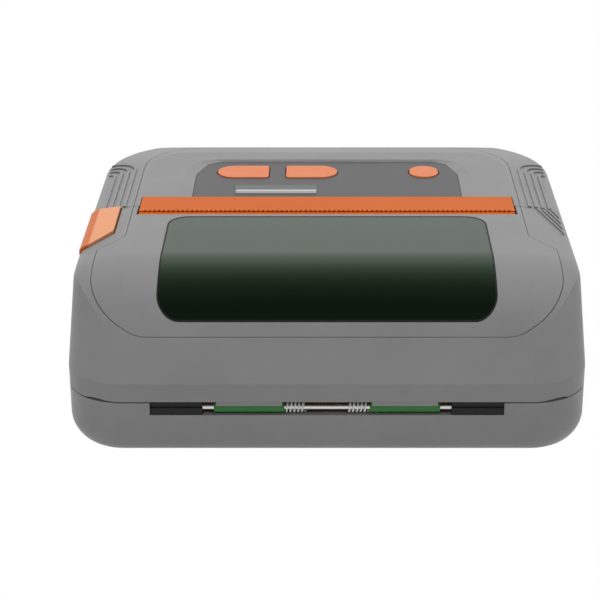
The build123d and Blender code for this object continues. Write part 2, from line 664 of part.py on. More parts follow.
def make_control_top(skin_layer):
    region = box(-LONG, LONG, FAR_EDGE_Y, LONG, CREASE_Z, LONG)
    skin = skin_layer & control_top_plan(0) & region
    low = Pos(0, 0, TOP_Z - PANEL_DEPTH) * panel_plan(PANEL_BEVEL, PANEL_FAR_BEVEL)
    high = Pos(0, 0, TOP_Z + CONE_MARGIN) * panel_plan(0, 0)
    skin -= loft([low, high], ruled=True)
    skin -= prism(panel_plan(PANEL_BEVEL, PANEL_FAR_BEVEL), TOP_Z - WALL, TOP_Z)
    return skin - bar_notch()


def button_outlines():
    """Each button's name, outline centre, size and end radii."""
    round_end = BUTTON_DEPTH / 2 - HAIR_GAP
    oval = POWER_BUTTON_WIDTH / 2 - HAIR_GAP
    return [("feed_button", FEED_BUTTON_X, BUTTON_WIDTH, BUTTON_DEPTH, round_end, BUTTON_SQUARE_RADIUS),
            ("pause_button", PAUSE_BUTTON_X, BUTTON_WIDTH, BUTTON_DEPTH, BUTTON_SQUARE_RADIUS, round_end),
            ("power_button", POWER_BUTTON_X, POWER_BUTTON_WIDTH, POWER_BUTTON_DEPTH, oval, oval)]


def button_plan(x, width, depth, left, right, grow):
    return capsule_plan(x, BUTTON_ROW_Y, width + 2 * grow, depth + 2 * grow, left + grow, right + grow)


def make_control_panel():
    """The panel's plate, stepped up into the top skin's opening and pierced for the buttons."""
    lap = PANEL_PLATE_LAP
    panel = prism(panel_plan(PANEL_BEVEL - lap, PANEL_FAR_BEVEL - lap), TOP_Z - WALL, TOP_Z - SKIN)
    raised = panel_plan(PANEL_BEVEL + SKIN_GAP, PANEL_FAR_BEVEL + SKIN_GAP)
    panel += prism(raised, TOP_Z - WALL, TOP_Z - PANEL_DEPTH)
    panel -= box(-LONG, LONG, -LONG, TEAR_BAR_FAR_Y + FIT_GAP + SKIN_GAP, 0, LONG)
    for name, x, width, depth, left, right in button_outlines():
        panel -= prism(button_plan(x, width, depth, left, right, BUTTON_GAP), 0, TOP_Z)
    return panel


def make_button(x, width, depth, left, right):
    """A button's cap with the flange under the panel that keeps it in."""
    bottom = FLANGE_TOP_Z - BUTTON_FLANGE_THICKNESS
    cap = prism(button_plan(x, width, depth, left, right, 0), bottom, TOP_Z - PANEL_DEPTH + BUTTON_RISE)
    cap = fillet(cap.edges().group_by(Axis.Z)[-1], BUTTON_EDGE)
    return cap + prism(button_plan(x, width, depth, left, right, BUTTON_FLANGE), bottom, FLANGE_TOP_Z)


def make_button_board():
    """The board under the buttons, with one switch under each and posts up to the panel."""
    switch_top = FLANGE_TOP_Z - BUTTON_FLANGE_THICKNESS - BUTTON_TRAVEL - BUTTON_GAP
    top = switch_top - SWITCH_HEIGHT
    half = PANEL_HALF_WIDTH - PANEL_BEVEL - BUTTON_BOARD_INSET
    board = box(-half, half, BUTTON_ROW_Y - BUTTON_BOARD_HALF_DEPTH, BUTTON_ROW_Y + BUTTON_BOARD_HALF_DEPTH,
                top - BOARD_THICKNESS, top)
    for name, x, width, depth, left, right in button_outlines():
        board += post(SWITCH_RADIUS, x, BUTTON_ROW_Y, top - SHORT_LAP, switch_top)
    for side in (-1, 1):
        x = side * (half - BUTTON_POST_RADIUS - SHORT_LAP)
        board += post(BUTTON_POST_RADIUS, x, BUTTON_ROW_Y - BUTTON_POST_INSET, top - SHORT_LAP, TOP_Z - WALL)
    return board


def make_light_bar():
    """The status light's raised bar with softened upper edges."""
    bottom = TOP_Z - PANEL_DEPTH
    face = capsule_plan(LIGHT_BAR_X, LIGHT_BAR_Y, LIGHT_BAR_WIDTH, LIGHT_BAR_DEPTH,
                        LIGHT_BAR_CORNER, LIGHT_BAR_CORNER)
    bar = prism(face, bottom, bottom + LIGHT_BAR_HEIGHT)
    return fillet(bar.edges().group_by(Axis.Z)[-1], LIGHT_BAR_EDGE)


def make_tear_bar():
    """The serrated tear bar: a flat bar whose near edge is cut into teeth over a lower lip."""
    top = TOP_Z + TEAR_BAR_RISE
    lip_y = TEAR_BAR_NEAR_Y + TEAR_LIP_DEPTH
    lip_z = top - TEAR_LIP_DROP
    low = TEAR_BAR_BOTTOM_Z
    section = [(TEAR_BAR_FAR_Y, low), (TEAR_BAR_FAR_Y, top), (lip_y, top), (lip_y, lip_z),
               (TEAR_BAR_NEAR_Y, lip_z - TEAR_LIP_FALL), (TEAR_BAR_NEAR_Y, low + TEAR_BAR_CHAMFER),
               (TEAR_BAR_NEAR_Y + TEAR_BAR_CHAMFER, low)]
    bar = plate(section, -TEAR_BAR_HALF_WIDTH, TEAR_BAR_HALF_WIDTH)
    count = int(2 * TEAR_BAR_HALF_WIDTH / TOOTH_PITCH) - 1
    root = TOOTH_PITCH * TOOTH_GAP_SHARE / 2
    tip = TOOTH_PITCH * TOOTH_TIP_SHARE / 2
    outline = Polyline((-root, 0), (root, 0), (tip, TOOTH_DEPTH), (-tip, TOOTH_DEPTH), close=True)
    notch = extrude(make_face(outline), TOOTH_HOLE_DEPTH + TEAR_LIP_DROP + OVERRUN)
    first = -(count - 1) * TOOTH_PITCH / 2
    places = [Pos(first + index * TOOTH_PITCH, lip_y - SHORT_LAP, lip_z - TOOTH_HOLE_DEPTH)
              for index in range(count)]
    return bar - [place * notch for place in places]


def screw_places():
    right = [(SCREW_FAR_X, SCREW_FAR_Y), (SCREW_NEAR_X, SCREW_NEAR_Y)]
    return [(side * x, y) for side in (-1, 1) for x, y in right]


def foot_places():
    return [(x * FOOT_X, y * FOOT_Y) for x in (-1, 1) for y in (-1, 1)]


def make_lower_housing(outer, inner):
    """The tray: hinge slot and shelf, screw bosses, foot recesses, battery opening and port opening."""
    shell = (outer - inner) & box(-LONG, LONG, -LONG, LONG, 0, SEAM_Z)
    reach = LID_HINGE_RADIUS + OVERRUN
    hinge_band = box(-LONG, LONG, HINGE_Y - reach, HINGE_Y, HINGE_Z, HINGE_Z + reach)
    shell -= hinge_band - rod(TONGUE_RADIUS, -LONG, LONG, HINGE_Y, HINGE_Z)
    shell -= box(-SLOT_HALF_WIDTH, SLOT_HALF_WIDTH, -LONG, SLOT_INNER_Y, SLOT_BOTTOM_Z, LONG)
    shelf_half = SLOT_HALF_WIDTH + SHELF_SIDE
    shelf_top = SLOT_BOTTOM_Z - SHELF_DROP
    shelf = box(-shelf_half, shelf_half, SLOT_INNER_Y - 2 * FIT_GAP, BIN_NEAR_Y - 2 * FIT_GAP,
                shelf_top - SHELF_THICKNESS, shelf_top)
    shell += shelf - rod(TROUGH_INNER_RADIUS + TROUGH_WALL, -LONG, LONG, HINGE_Y, HINGE_Z)
    for x, y in screw_places():
        shell += post(SCREW_BOSS_RADIUS, x, y, FLOOR_TOP_Z - FIT_GAP, FLOOR_Z + SCREW_LENGTH + FIT_GAP)
    for x, y in screw_places():
        shell -= post(SCREW_HEAD_RADIUS + SCREW_HEAD_FIT, x, y, 0,
                      FLOOR_Z + SCREW_HEAD_INSET + SCREW_HEAD_HEIGHT)
        shell -= post(SCREW_RADIUS, x, y, 0, FLOOR_Z + SCREW_LENGTH)
    for x, y in foot_places():
        shell -= post(FOOT_RADIUS + FOOT_FIT, x, y, 0, FLOOR_Z + FOOT_RECESS)
    shell -= box(BATTERY_MIN_X, BATTERY_MAX_X, BATTERY_NEAR_Y, BATTERY_FAR_Y, 0, FLOOR_TOP_Z + OVERRUN)
    half = PORT_WIDTH / 2
    return shell - box(BODY_HALF_WIDTH - WALL - OVERRUN, LONG, PORT_Y - half, PORT_Y + half,
                       PORT_BOTTOM_Z - FIT_GAP, PORT_BOTTOM_Z + PORT_HEIGHT + FIT_GAP)


def make_feet():
    return Part() + [post(FOOT_RADIUS, x, y, 0, FLOOR_Z + FOOT_RECESS) for x, y in foot_places()]


def make_screws():
    screws = []
    bottom = FLOOR_Z + SCREW_HEAD_INSET
    for x, y in screw_places():
        head = post(SCREW_HEAD_RADIUS, x, y, bottom, bottom + SCREW_HEAD_HEIGHT)
        screws.append(head + post(SCREW_RADIUS, x, y, bottom, FLOOR_Z + SCREW_LENGTH))
    return Part() + screws


def make_battery_cover():
    """The cover that closes the battery bay in the floor, with a finger notch at its near edge."""
    cover = box(BATTERY_MIN_X + FIT_GAP, BATTERY_MAX_X - FIT_GAP, BATTERY_NEAR_Y + FIT_GAP,
                BATTERY_FAR_Y - FIT_GAP, FLOOR_Z, FLOOR_TOP_Z)
    cover = fillet(cover.edges().filter_by(Axis.Z), COVER_CORNER)
    middle = (BATTERY_MIN_X + BATTERY_MAX_X) / 2
    return cover - box(middle - FINGER_HALF_WIDTH, middle + FINGER_HALF_WIDTH, BATTERY_NEAR_Y,
                       BATTERY_NEAR_Y + FIT_GAP + FINGER_DEPTH, 0, FLOOR_Z + FINGER_HEIGHT)


def make_battery():
    gap = BATTERY_GAP
    pack = box(BATTERY_MIN_X + gap, BATTERY_MAX_X - gap, BATTERY_NEAR_Y + gap, BATTERY_FAR_Y - gap,
               FLOOR_TOP_Z, FLOOR_TOP_Z + BATTERY_HEIGHT)
    return fillet(pack.edges().filter_by(Axis.X), BATTERY_EDGE_RADIUS)


def make_hinge_shaft():
    end = END_BLOCK_START_X + SHAFT_SEAT
    return rod(SHAFT_RADIUS, -end, end, HINGE_Y, HINGE_Z)


def make_hinge_end(side):
    """A bearing block at one end of the hinge shaft, stepped back along its upper near edge."""
    x0, x1 = sorted((side * END_BLOCK_START_X, side * SLOT_HALF_WIDTH))
    front = HINGE_Y - END_BLOCK_FRONT
    block = box(x0, x1, front, HINGE_Y + END_BLOCK_DEPTH, SLOT_BOTTOM_Z - SHELF_DROP, SEAM_Z - SEAM_GAP / 3)
    block -= box(x0, x1, front, front + END_BLOCK_STEP, HINGE_Z + FIT_GAP, SEAM_Z)
    end = END_BLOCK_START_X + SHAFT_SEAT
    block -= rod(SHAFT_RADIUS, -end, end, HINGE_Y, HINGE_Z)
    return block - box(x0, x1, -LONG, SLOT_INNER_Y, 0, SLOT_BOTTOM_Z + HAIR_GAP)


def make_sleeve(side):
    x0, x1 = sorted((side * SLEEVE_START_X, side * SLEEVE_END_X))
    bore = rod(SHAFT_RADIUS + RUNNING_FIT, x0 - OVERRUN, x1 + OVERRUN, HINGE_Y, HINGE_Z)
    return rod(SLEEVE_RADIUS, x0, x1, HINGE_Y, HINGE_Z) - bore


def make_trough():
    """A curved plate under and behind the hinge shaft, with a flat tail on the housing's shelf."""
    x = END_BLOCK_START_X - SHORT_LAP
    shelf_top = SLOT_BOTTOM_Z - SHELF_DROP
    wall_face = SLOT_INNER_Y + 2 * HAIR_GAP
    ring = rod(TROUGH_INNER_RADIUS + TROUGH_WALL, -x, x, HINGE_Y, HINGE_Z)
    ring = ring & box(-x, x, wall_face, LONG, 0, HINGE_Z + FIT_GAP)
    tail = box(-x, x, wall_face, HINGE_Y + TROUGH_TAIL, shelf_top, shelf_top + TROUGH_WALL)
    return ring + tail - rod(TROUGH_INNER_RADIUS, -x - OVERRUN, x + OVERRUN, HINGE_Y, HINGE_Z)


def biarc(start, start_direction, end, end_direction):
    """Two arcs that join two points of a curve and keep its direction at both."""
    chord = end - start
    total = start_direction + end_direction
    spread = 2 * (1 - start_direction.dot(end_direction))
    along = chord.dot(total)
    reach = (-along + sqrt(along * along + spread * chord.dot(chord))) / spread
    middle = (start + start_direction * reach + end - end_direction * reach) * 0.5
    first = Edge.make_tangent_arc(start, start_direction, middle)
    second = Edge.make_tangent_arc(middle, first.tangent_at(1), end)
    return [first, second]


def coil_point(start_x, angle):
    lead = SPRING_LENGTH / SPRING_TURNS
    return Vector(start_x + lead * angle / (2 * pi), HINGE_Y + SPRING_MEAN_RADIUS * cos(angle),
                  HINGE_Z + SPRING_MEAN_RADIUS * sin(angle))


def coil_direction(angle):
    lead = SPRING_LENGTH / SPRING_TURNS
    along = Vector(lead / (2 * pi), -SPRING_MEAN_RADIUS * sin(angle), SPRING_MEAN_RADIUS * cos(angle))
    return along.normalized()


def make_torsion_spring(start_x):
    """A torsion spring round the shaft: one wire with a straight leg at each end of its coil."""
    first = coil_point(start_x, 0)
    edges = [Edge.make_line(first - coil_direction(0) * SPRING_LEG, first)]
    for half_turn in range(2 * SPRING_TURNS):
        a0 = pi * half_turn
        a1 = pi * (half_turn + 1)
        edges += biarc(coil_point(start_x, a0), coil_direction(a0),
                       coil_point(start_x, a1), coil_direction(a1))
    end = 2 * pi * SPRING_TURNS
    last = coil_point(start_x, end)
    edges.append(Edge.make_line(last, last + coil_direction(end) * SPRING_LEG))
    path = Wire(edges)
    section = Plane(origin=path.position_at(0), z_dir=path.tangent_at(0)) * Circle(SPRING_WIRE_RADIUS)
    return sweep(section, path=path)


def print_spring_gap():
    """Prints the least gap between one turn of the spring's wire and the next."""
    steps = 48
    points = [coil_point(0, 2 * pi * i / steps) for i in range(steps * SPRING_TURNS + 1)]
    least = min((a - b).length for i, a in enumerate(points) for b in points[i + steps // 2:])
    print("least gap between spring turns", round(least - 2 * SPRING_WIRE_RADIUS, 3))


def involute(angle):
    return tan(angle) - angle


def pitch_radius(teeth):
    return teeth * GEAR_MODULE / 2


def gear_face(teeth, phase_deg):
    """A spur gear's outline with involute flanks, one tooth's middle lying at the phase angle."""
    pitch = pitch_radius(teeth)
    base = pitch * cos(radians(PRESSURE_DEG))
    tip = pitch + GEAR_ADDENDUM * GEAR_MODULE
    root = pitch - GEAR_DEDENDUM * GEAR_MODULE
    flank_start = max(base, root)
    half_tooth = pi / (2 * teeth) - GEAR_BACKLASH / (2 * pitch) + involute(radians(PRESSURE_DEG))
    flank = [(root, half_tooth - involute(acos(base / flank_start)))]
    for radius in (flank_start, (flank_start + tip) / 2, tip):
        flank.append((radius, half_tooth - involute(acos(base / radius))))
    points = []
    for tooth in range(teeth):
        middle = radians(phase_deg) + 2 * pi * tooth / teeth
        rising = [(radius, middle - angle) for radius, angle in flank]
        falling = [(radius, middle + angle) for radius, angle in reversed(flank)]
        points += [(radius * cos(angle), radius * sin(angle)) for radius, angle in rising + falling]
    return make_face(Polyline(*points, close=True))


def make_gear(teeth, phase_deg, y, z, bore_radius):
    """A gear on an axis along X. Its outline is drawn in Y and Z."""
    gear = extrude(Plane.YZ * gear_face(teeth, phase_deg), GEAR_WIDTH)
    bore = rod(bore_radius, GEAR_START_X - OVERRUN, GEAR_END_X + OVERRUN, y, z)
    return Pos(GEAR_START_X, y, z) * gear - bore


def gear_places():
    """Axis places of the idler and pinion, and the three phases that put their teeth in mesh."""
    down = atan2(PLATEN_Z - HINGE_Z, PLATEN_Y - HINGE_Y) - pi / 2
    reach = pitch_radius(PLATEN_TEETH) + pitch_radius(IDLER_TEETH) + GEAR_EXTRA_CENTRE
    idler = (PLATEN_Y + reach * cos(down), PLATEN_Z + reach * sin(down))
    side = radians(PINION_DIRECTION_DEG)
    short = pitch_radius(IDLER_TEETH) + pitch_radius(PINION_TEETH) + GEAR_EXTRA_CENTRE
    pinion = (idler[0] + short * cos(side), idler[1] + short * sin(side))
    platen_phase = degrees(down)
    idler_phase = degrees(down) + 180 + 180 / IDLER_TEETH
    turned_teeth = (idler_phase - PINION_DIRECTION_DEG) * IDLER_TEETH / 360
    pinion_phase = PINION_DIRECTION_DEG + 180 - turned_teeth * 360 / PINION_TEETH + 180 / PINION_TEETH
    return idler, pinion, platen_phase, idler_phase, pinion_phase


def make_platen_shaft():
    return rod(PLATEN_SHAFT_RADIUS, -CHEEK_OUTER_X - PLATEN_SHAFT_END, GEAR_END_X + PLATEN_SHAFT_END,
               PLATEN_Y, PLATEN_Z)


def make_platen_rubber():
    tube = rod(PLATEN_RADIUS, -PLATEN_HALF_LENGTH, PLATEN_HALF_LENGTH, PLATEN_Y, PLATEN_Z)
    return tube - rod(PLATEN_SHAFT_RADIUS, -LONG / 2, LONG / 2, PLATEN_Y, PLATEN_Z)


def make_bush(side):
    x0, x1 = sorted((side * HOLDER_CHEEK_X, side * CHEEK_OUTER_X))
    bore = rod(PLATEN_SHAFT_RADIUS + RUNNING_FIT, x0 - OVERRUN, x1 + OVERRUN, PLATEN_Y, PLATEN_Z)
    return rod(BUSH_RADIUS, x0, x1, PLATEN_Y, PLATEN_Z) - bore


def make_platen_holder():
    """The lid's cross bar, with a cheek at each end for the platen's bush and the latch shaft."""
    top = TOP_Z - WALL
    near = LATCH_Y - 3
    far = PLATEN_Y + HOLDER_FAR
    bar = box(-CHEEK_OUTER_X, CHEEK_OUTER_X, near, far, top - HOLDER_BAR_HEIGHT, top)
    outline = [(near, top - 1), (near, LATCH_Z - 2.4), (LATCH_Y + 1, LATCH_Z - 3.2),
               (PLATEN_Y - 3, PLATEN_Z - 4.8), (PLATEN_Y + 3.4, PLATEN_Z - 4.8),
               (far, PLATEN_Z - 3.4), (far, top - 1)]
    for x in (-CHEEK_OUTER_X, HOLDER_CHEEK_X):
        bar += plate(outline, x, x + CHEEK_THICKNESS)
    bar -= rod(BUSH_RADIUS, -LONG / 2, LONG / 2, PLATEN_Y, PLATEN_Z)
    bar -= rod(LATCH_SHAFT_RADIUS + RUNNING_FIT, -LONG / 2, LONG / 2, LATCH_Y, LATCH_Z)
    return bar & envelope(WALL)


def make_latch():
    """The latch: a cross shaft with a hook at each end that hangs beside its catch."""
    latch = rod(LATCH_SHAFT_RADIUS, -HOOK_END_X, HOOK_END_X, LATCH_Y, LATCH_Z)
    tip = CATCH_Z - CATCH_RADIUS
    outline = [(LATCH_Y - 2.2, LATCH_Z + 2), (LATCH_Y - 2.8, tip - 2.6), (LATCH_Y - 0.2, tip - 2.6),
               (LATCH_Y + 0.5, tip - 1.4), (LATCH_Y + 0.1, tip), (LATCH_Y + 2.2, LATCH_Z - 3),
               (LATCH_Y + 2.2, LATCH_Z + 2)]
    for x in (-HOOK_END_X, HOOK_START_X):
        latch += plate(outline, x, x + HOOK_THICKNESS)
    return latch


def make_main_frame():
    """The frame: two cheeks, the wall that the print head's spring bears on, and a foot rail."""
    idler, pinion = gear_places()[:2]
    low = FLOOR_TOP_Z
    frame = box(-FRAME_OUTER_X, FRAME_OUTER_X, FRAME_WALL_Y, FRAME_WALL_FAR_Y, FRAME_TOP_Z, FRAME_WALL_TOP_Z)
    frame += box(-FRAME_OUTER_X, FRAME_OUTER_X, FRAME_FAR_Y - FRAME_RAIL_DEPTH, FRAME_FAR_Y,
                 low, low + FRAME_RAIL_HEIGHT)
    outline = [(FRAME_NEAR_Y, low), (FRAME_FAR_Y, low), (FRAME_FAR_Y, FRAME_TOP_Z - 8),
               (FRAME_WALL_FAR_Y + 3, FRAME_TOP_Z), (FRAME_WALL_FAR_Y, FRAME_WALL_TOP_Z),
               (FRAME_WALL_Y, FRAME_WALL_TOP_Z), (FRAME_WALL_Y - 1, FRAME_TOP_Z),
               (FRAME_NEAR_Y + 6, FRAME_TOP_Z), (FRAME_NEAR_Y, CATCH_Z - 4)]
    for side in (-1, 1):
        x0, x1 = sorted((side * FRAME_CHEEK_X, side * FRAME_OUTER_X))
        frame += plate(outline, x0, x1)
        x0, x1 = sorted((side * (FRAME_OUTER_X - SHORT_LAP), side * (HOOK_END_X + 2 * FIT_GAP)))
        frame += rod(CATCH_RADIUS, x0, x1, LATCH_Y + CATCH_OFFSET, CATCH_Z)
    frame += rod(IDLER_AXLE_RADIUS, FRAME_OUTER_X - SHORT_LAP, GEAR_END_X + SHORT_LAP, *idler)
    return frame - rod(MOTOR_HOLE_RADIUS, FRAME_CHEEK_X - OVERRUN, FRAME_OUTER_X + OVERRUN, *pinion)


def make_idler():
    idler, pinion, platen_phase, idler_phase, pinion_phase = gear_places()
    return make_gear(IDLER_TEETH, idler_phase, *idler, IDLER_AXLE_RADIUS + RUNNING_FIT)


def make_platen_gear():
    return make_gear(PLATEN_TEETH, gear_places()[2], PLATEN_Y, PLATEN_Z, PLATEN_SHAFT_RADIUS)


def make_pinion():
    """The motor's pinion with its shaft."""
    idler, pinion, platen_phase, idler_phase, pinion_phase = gear_places()
    gear = make_gear(PINION_TEETH, pinion_phase, *pinion, MOTOR_SHAFT_RADIUS)
    return gear + rod(MOTOR_SHAFT_RADIUS, FRAME_CHEEK_X - MOTOR_SHAFT_SEAT, GEAR_END_X, *pinion)


def make_motor():
    pinion = gear_places()[1]
    end = FRAME_CHEEK_X
    can = rod(MOTOR_RADIUS, end - MOTOR_LENGTH, end - MOTOR_FLANGE, *pinion)
    flange = rod(MOTOR_RADIUS + SHORT_LAP, end - MOTOR_FLANGE, end, *pinion)
    bore = rod(MOTOR_SHAFT_RADIUS + RUNNING_FIT, end - MOTOR_SHAFT_SEAT - OVERRUN, LONG, *pinion)
    return can + flange - bore


def make_print_head():
    """The print head: a flat block whose near face carries the raised line of heating dots."""
    half = PLATEN_HALF_LENGTH
    face = HEAD_FACE_Y + DOT_LINE_RISE
    head = box(-half - HEAD_SIDE, half + HEAD_SIDE, face, HEAD_FACE_Y + HEAD_THICKNESS,
               HEAD_BOTTOM_Z, HEAD_TOP_Z)
    return head + box(-half, half, HEAD_FACE_Y, face,
                      PLATEN_Z - DOT_LINE_HALF_HEIGHT, PLATEN_Z + DOT_LINE_HALF_HEIGHT)


def make_head_bracket():
    y0 = HEAD_FACE_Y + HEAD_THICKNESS
    y1 = y0 + BRACKET_THICKNESS
    half = PLATEN_HALF_LENGTH + HEAD_SIDE
    back = box(-half, half, y0, y1, HEAD_BOTTOM_Z, HEAD_TOP_Z)
    return back + box(-half, half, y0 - BRACKET_THICKNESS, y1, HEAD_TOP_Z, HEAD_TOP_Z + BRACKET_LIP)


def make_head_spring():
    """Two bowed leaf springs between the head's bracket and the frame's wall."""
    y0 = HEAD_FACE_Y + HEAD_THICKNESS + BRACKET_THICKNESS
    y1 = FRAME_WALL_Y
    half = LEAF_THICKNESS / 2
    leaves = []
    for x in (-LEAF_X, LEAF_X):
        x0 = x - LEAF_HALF_LENGTH
        x1 = x + LEAF_HALF_LENGTH
        bow = ThreePointArc((x0, y1 - half), (x, y0 + half), (x1, y1 - half))
        strip = extrude(trace(bow, LEAF_THICKNESS), LEAF_WIDTH) & box(x0, x1, y0, y1, 0, LEAF_WIDTH)
        leaves.append(Pos(0, 0, PLATEN_Z - LEAF_WIDTH / 2) * strip)
    return Part() + leaves


def make_paper_bin():
    """The roll's bin: a trough with end walls and a guide slot along its lowest line."""
    half = BIN_HALF_LENGTH + BIN_WALL
    block = box(-half, half, BIN_NEAR_Y, BIN_FAR_Y, FLOOR_TOP_Z, BIN_RIM_Z)
    block = fillet(block.edges().filter_by(Axis.X).group_by(Axis.Z)[0], BIN_EDGE_RADIUS)
    block -= rod(BIN_RADIUS, -BIN_HALF_LENGTH, BIN_HALF_LENGTH, ROLL_Y, ROLL_Z)
    slot = GUIDE_SLOT_WIDTH / 2
    return block - box(-BIN_HALF_LENGTH, BIN_HALF_LENGTH, ROLL_Y - slot, ROLL_Y + slot, GUIDE_SLOT_Z, ROLL_Z)


def make_roll_holder(side):
    """A paddle that holds one end of the roll on a hub and slides along the bin's slot."""
    foot_z = GUIDE_SLOT_Z + FIT_GAP
    slot = GUIDE_SLOT_WIDTH / 2 - FIT_GAP
    top = foot_z + HOLDER_STEM_HEIGHT
    outline = make_hull([*(Pos(ROLL_Y, ROLL_Z) * Circle(HOLDER_DISC_RADIUS)).edges(),
                         *(Pos(ROLL_Y, top - OVERRUN) * Rectangle(2 * slot, OVERRUN)).edges()])
    paddle = extrude(Plane.YZ * outline, HOLDER_THICKNESS)
    paddle += box(0, HOLDER_THICKNESS, ROLL_Y - slot, ROLL_Y + slot, foot_z, top)
    hub = Cone(HOLDER_HUB_RADIUS, HOLDER_HUB_RADIUS - HOLDER_HUB_TAPER, HOLDER_HUB_LENGTH,
               align=(Align.CENTER, Align.CENTER, Align.MIN))
    foot = box(-HOLDER_FOOT_LENGTH, HOLDER_THICKNESS, ROLL_Y - slot, ROLL_Y + slot,
               foot_z, foot_z + HOLDER_FOOT_HEIGHT)
    holder = Pos(HOLDER_X, 0, 0) * (paddle + Pos(0, ROLL_Y, ROLL_Z) * Rot(0, -90, 0) * hub + foot)
    return holder if side > 0 else mirror(holder, Plane.YZ)


def make_paper_sensor():
    """The sensor that looks up at the paper from the bin's far rim."""
    far = BIN_FAR_Y - SHORT_LAP
    sensor = box(SENSOR_X - SENSOR_HALF_WIDTH, SENSOR_X + SENSOR_HALF_WIDTH, far - SENSOR_DEPTH, far,
                 BIN_RIM_Z, BIN_RIM_Z + SENSOR_HEIGHT)
    return fillet(sensor.edges().filter_by(Axis.Y), SENSOR_EDGE)


def make_main_board():
    """The main board on four posts, with a chip and a connector on it."""
    board = box(BOARD_MIN_X, BOARD_MAX_X, BOARD_NEAR_Y, BOARD_FAR_Y, BOARD_Z, BOARD_TOP_Z)
    for x in (BOARD_MIN_X + BOARD_POST_INSET, BOARD_MAX_X - BOARD_POST_SIDE):
        for y in (BOARD_NEAR_Y + BOARD_POST_INSET, BOARD_FAR_Y - BOARD_POST_INSET):
            board += post(BOARD_POST_RADIUS, x, y, FLOOR_TOP_Z, BOARD_Z)
    chip_x = BOARD_MIN_X + CHIP_INSET
    chip_y = BOARD_NEAR_Y + CHIP_INSET
    board += box(chip_x, chip_x + CHIP_SIDE, chip_y, chip_y + CHIP_SIDE,
                 BOARD_TOP_Z, BOARD_TOP_Z + CHIP_HEIGHT)
    connector_y = BOARD_FAR_Y - OVERRUN
    return board + box(chip_x, chip_x + CONNECTOR_WIDTH, connector_y - CONNECTOR_DEPTH, connector_y,
                       BOARD_TOP_Z, BOARD_TOP_Z + CONNECTOR_HEIGHT)


def make_port():
    """The charging and data socket on the main board's edge."""
    inner_height = SOCKET_HEIGHT - 2 * SOCKET_WALL
    outer = RectangleRounded(SOCKET_WIDTH, SOCKET_HEIGHT, SOCKET_HEIGHT / 2 - HAIR_GAP)
    inner = RectangleRounded(SOCKET_WIDTH - 2 * SOCKET_WALL, inner_height, inner_height / 2 - HAIR_GAP)
    shell = extrude(Plane.YZ * outer, SOCKET_LENGTH)
    shell -= Pos(OVERRUN, 0, 0) * extrude(Plane.YZ * inner, SOCKET_LENGTH)
    return Pos(BODY_HALF_WIDTH - WALL - SOCKET_LENGTH, PORT_Y, BOARD_TOP_Z + SOCKET_HEIGHT / 2) * shell


def make_port_cover():
    """The port's flap, flush with the side wall, with a round lower edge that it turns on."""
    x1 = BODY_HALF_WIDTH
    half = PORT_WIDTH / 2 - FIT_GAP
    radius = PORT_COVER_THICKNESS / 2
    flap = box(x1 - PORT_COVER_THICKNESS, x1, PORT_Y - half, PORT_Y + half,
               PORT_BOTTOM_Z + FIT_GAP + radius, PORT_BOTTOM_Z + PORT_HEIGHT)
    flap = fillet(flap.edges().filter_by(Axis.X).group_by(Axis.Z)[-1], PORT_COVER_CORNER)
    barrel = Cylinder(radius, 2 * half)
    return flap + Pos(x1 - radius, PORT_Y, PORT_BOTTOM_Z + FIT_GAP + radius) * Rot(90, 0, 0) * barrel


def build():
    os.makedirs("parts", exist_ok=True)
    outer = envelope(0)
    inner = envelope(WALL)
    skin_layer = outer - envelope(SKIN)
    recess_layer = band(-OVERRUN, SKIN)
    save(make_lower_housing(outer, inner), "lower_housing")
    save(make_far_housing(outer, inner, recess_layer), "far_housing")
    save(make_control_top(skin_layer), "control_top")
    save(make_control_panel(), "control_panel")
    save(make_light_bar(), "light_bar")
    save(make_tear_bar(), "tear_bar")
    save(make_lid_shell(outer, inner, recess_layer), "lid_shell")
    save(make_lid_top(skin_layer), "lid_top")
    save(make_window_lens(skin_layer), "window_lens")
    save(make_lever(), "release_lever")
    save(make_lever_pin(), "lever_pin")
    for name, x, width, depth, left, right in button_outlines():
        save(make_button(x, width, depth, left, right), name)
    save(make_button_board(), "button_board")
    save(make_feet(), "feet")
    save(make_screws(), "housing_screws")
    save(make_battery_cover(), "battery_cover")
    save(make_battery(), "battery_pack")
    save(make_hinge_shaft(), "hinge_shaft")
    save(make_hinge_end(-1), "hinge_end_left")
    save(make_hinge_end(1), "hinge_end_right")
    save(make_sleeve(-1), "hinge_sleeve_left")
    save(make_sleeve(1), "hinge_sleeve_right")
    save(make_torsion_spring(-SPRING_START_X - SPRING_LENGTH), "hinge_spring_left")
    save(make_torsion_spring(SPRING_START_X), "hinge_spring_right")
    print_spring_gap()
    save(make_trough(), "hinge_trough")
    save(make_platen_shaft(), "platen_shaft")
    save(make_platen_rubber(), "platen_rubber")
    save(make_platen_gear(), "platen_gear")
    save(make_bush(-1), "platen_bush_left")
    save(make_bush(1), "platen_bush_right")
    save(make_platen_holder(), "platen_holder")
    save(make_latch(), "latch_hooks")
    save(make_main_frame(), "main_frame")
    save(make_idler(), "idler_gear")
    save(make_pinion(), "motor_pinion")
    save(make_motor(), "motor")
    save(make_print_head(), "print_head")
    save(make_head_bracket(), "head_bracket")
    save(make_head_spring(), "head_springs")
    save(make_paper_bin(), "paper_bin")
    save(make_roll_holder(-1), "roll_holder_left")
    save(make_roll_holder(1), "roll_holder_right")
    save(make_paper_sensor(), "paper_sensor")
    save(make_main_board(), "main_board")
    save(make_port(), "data_port")
    save(make_port_cover(), "port_cover")


build()
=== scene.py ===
from math import cos, pi, radians, sin, sqrt

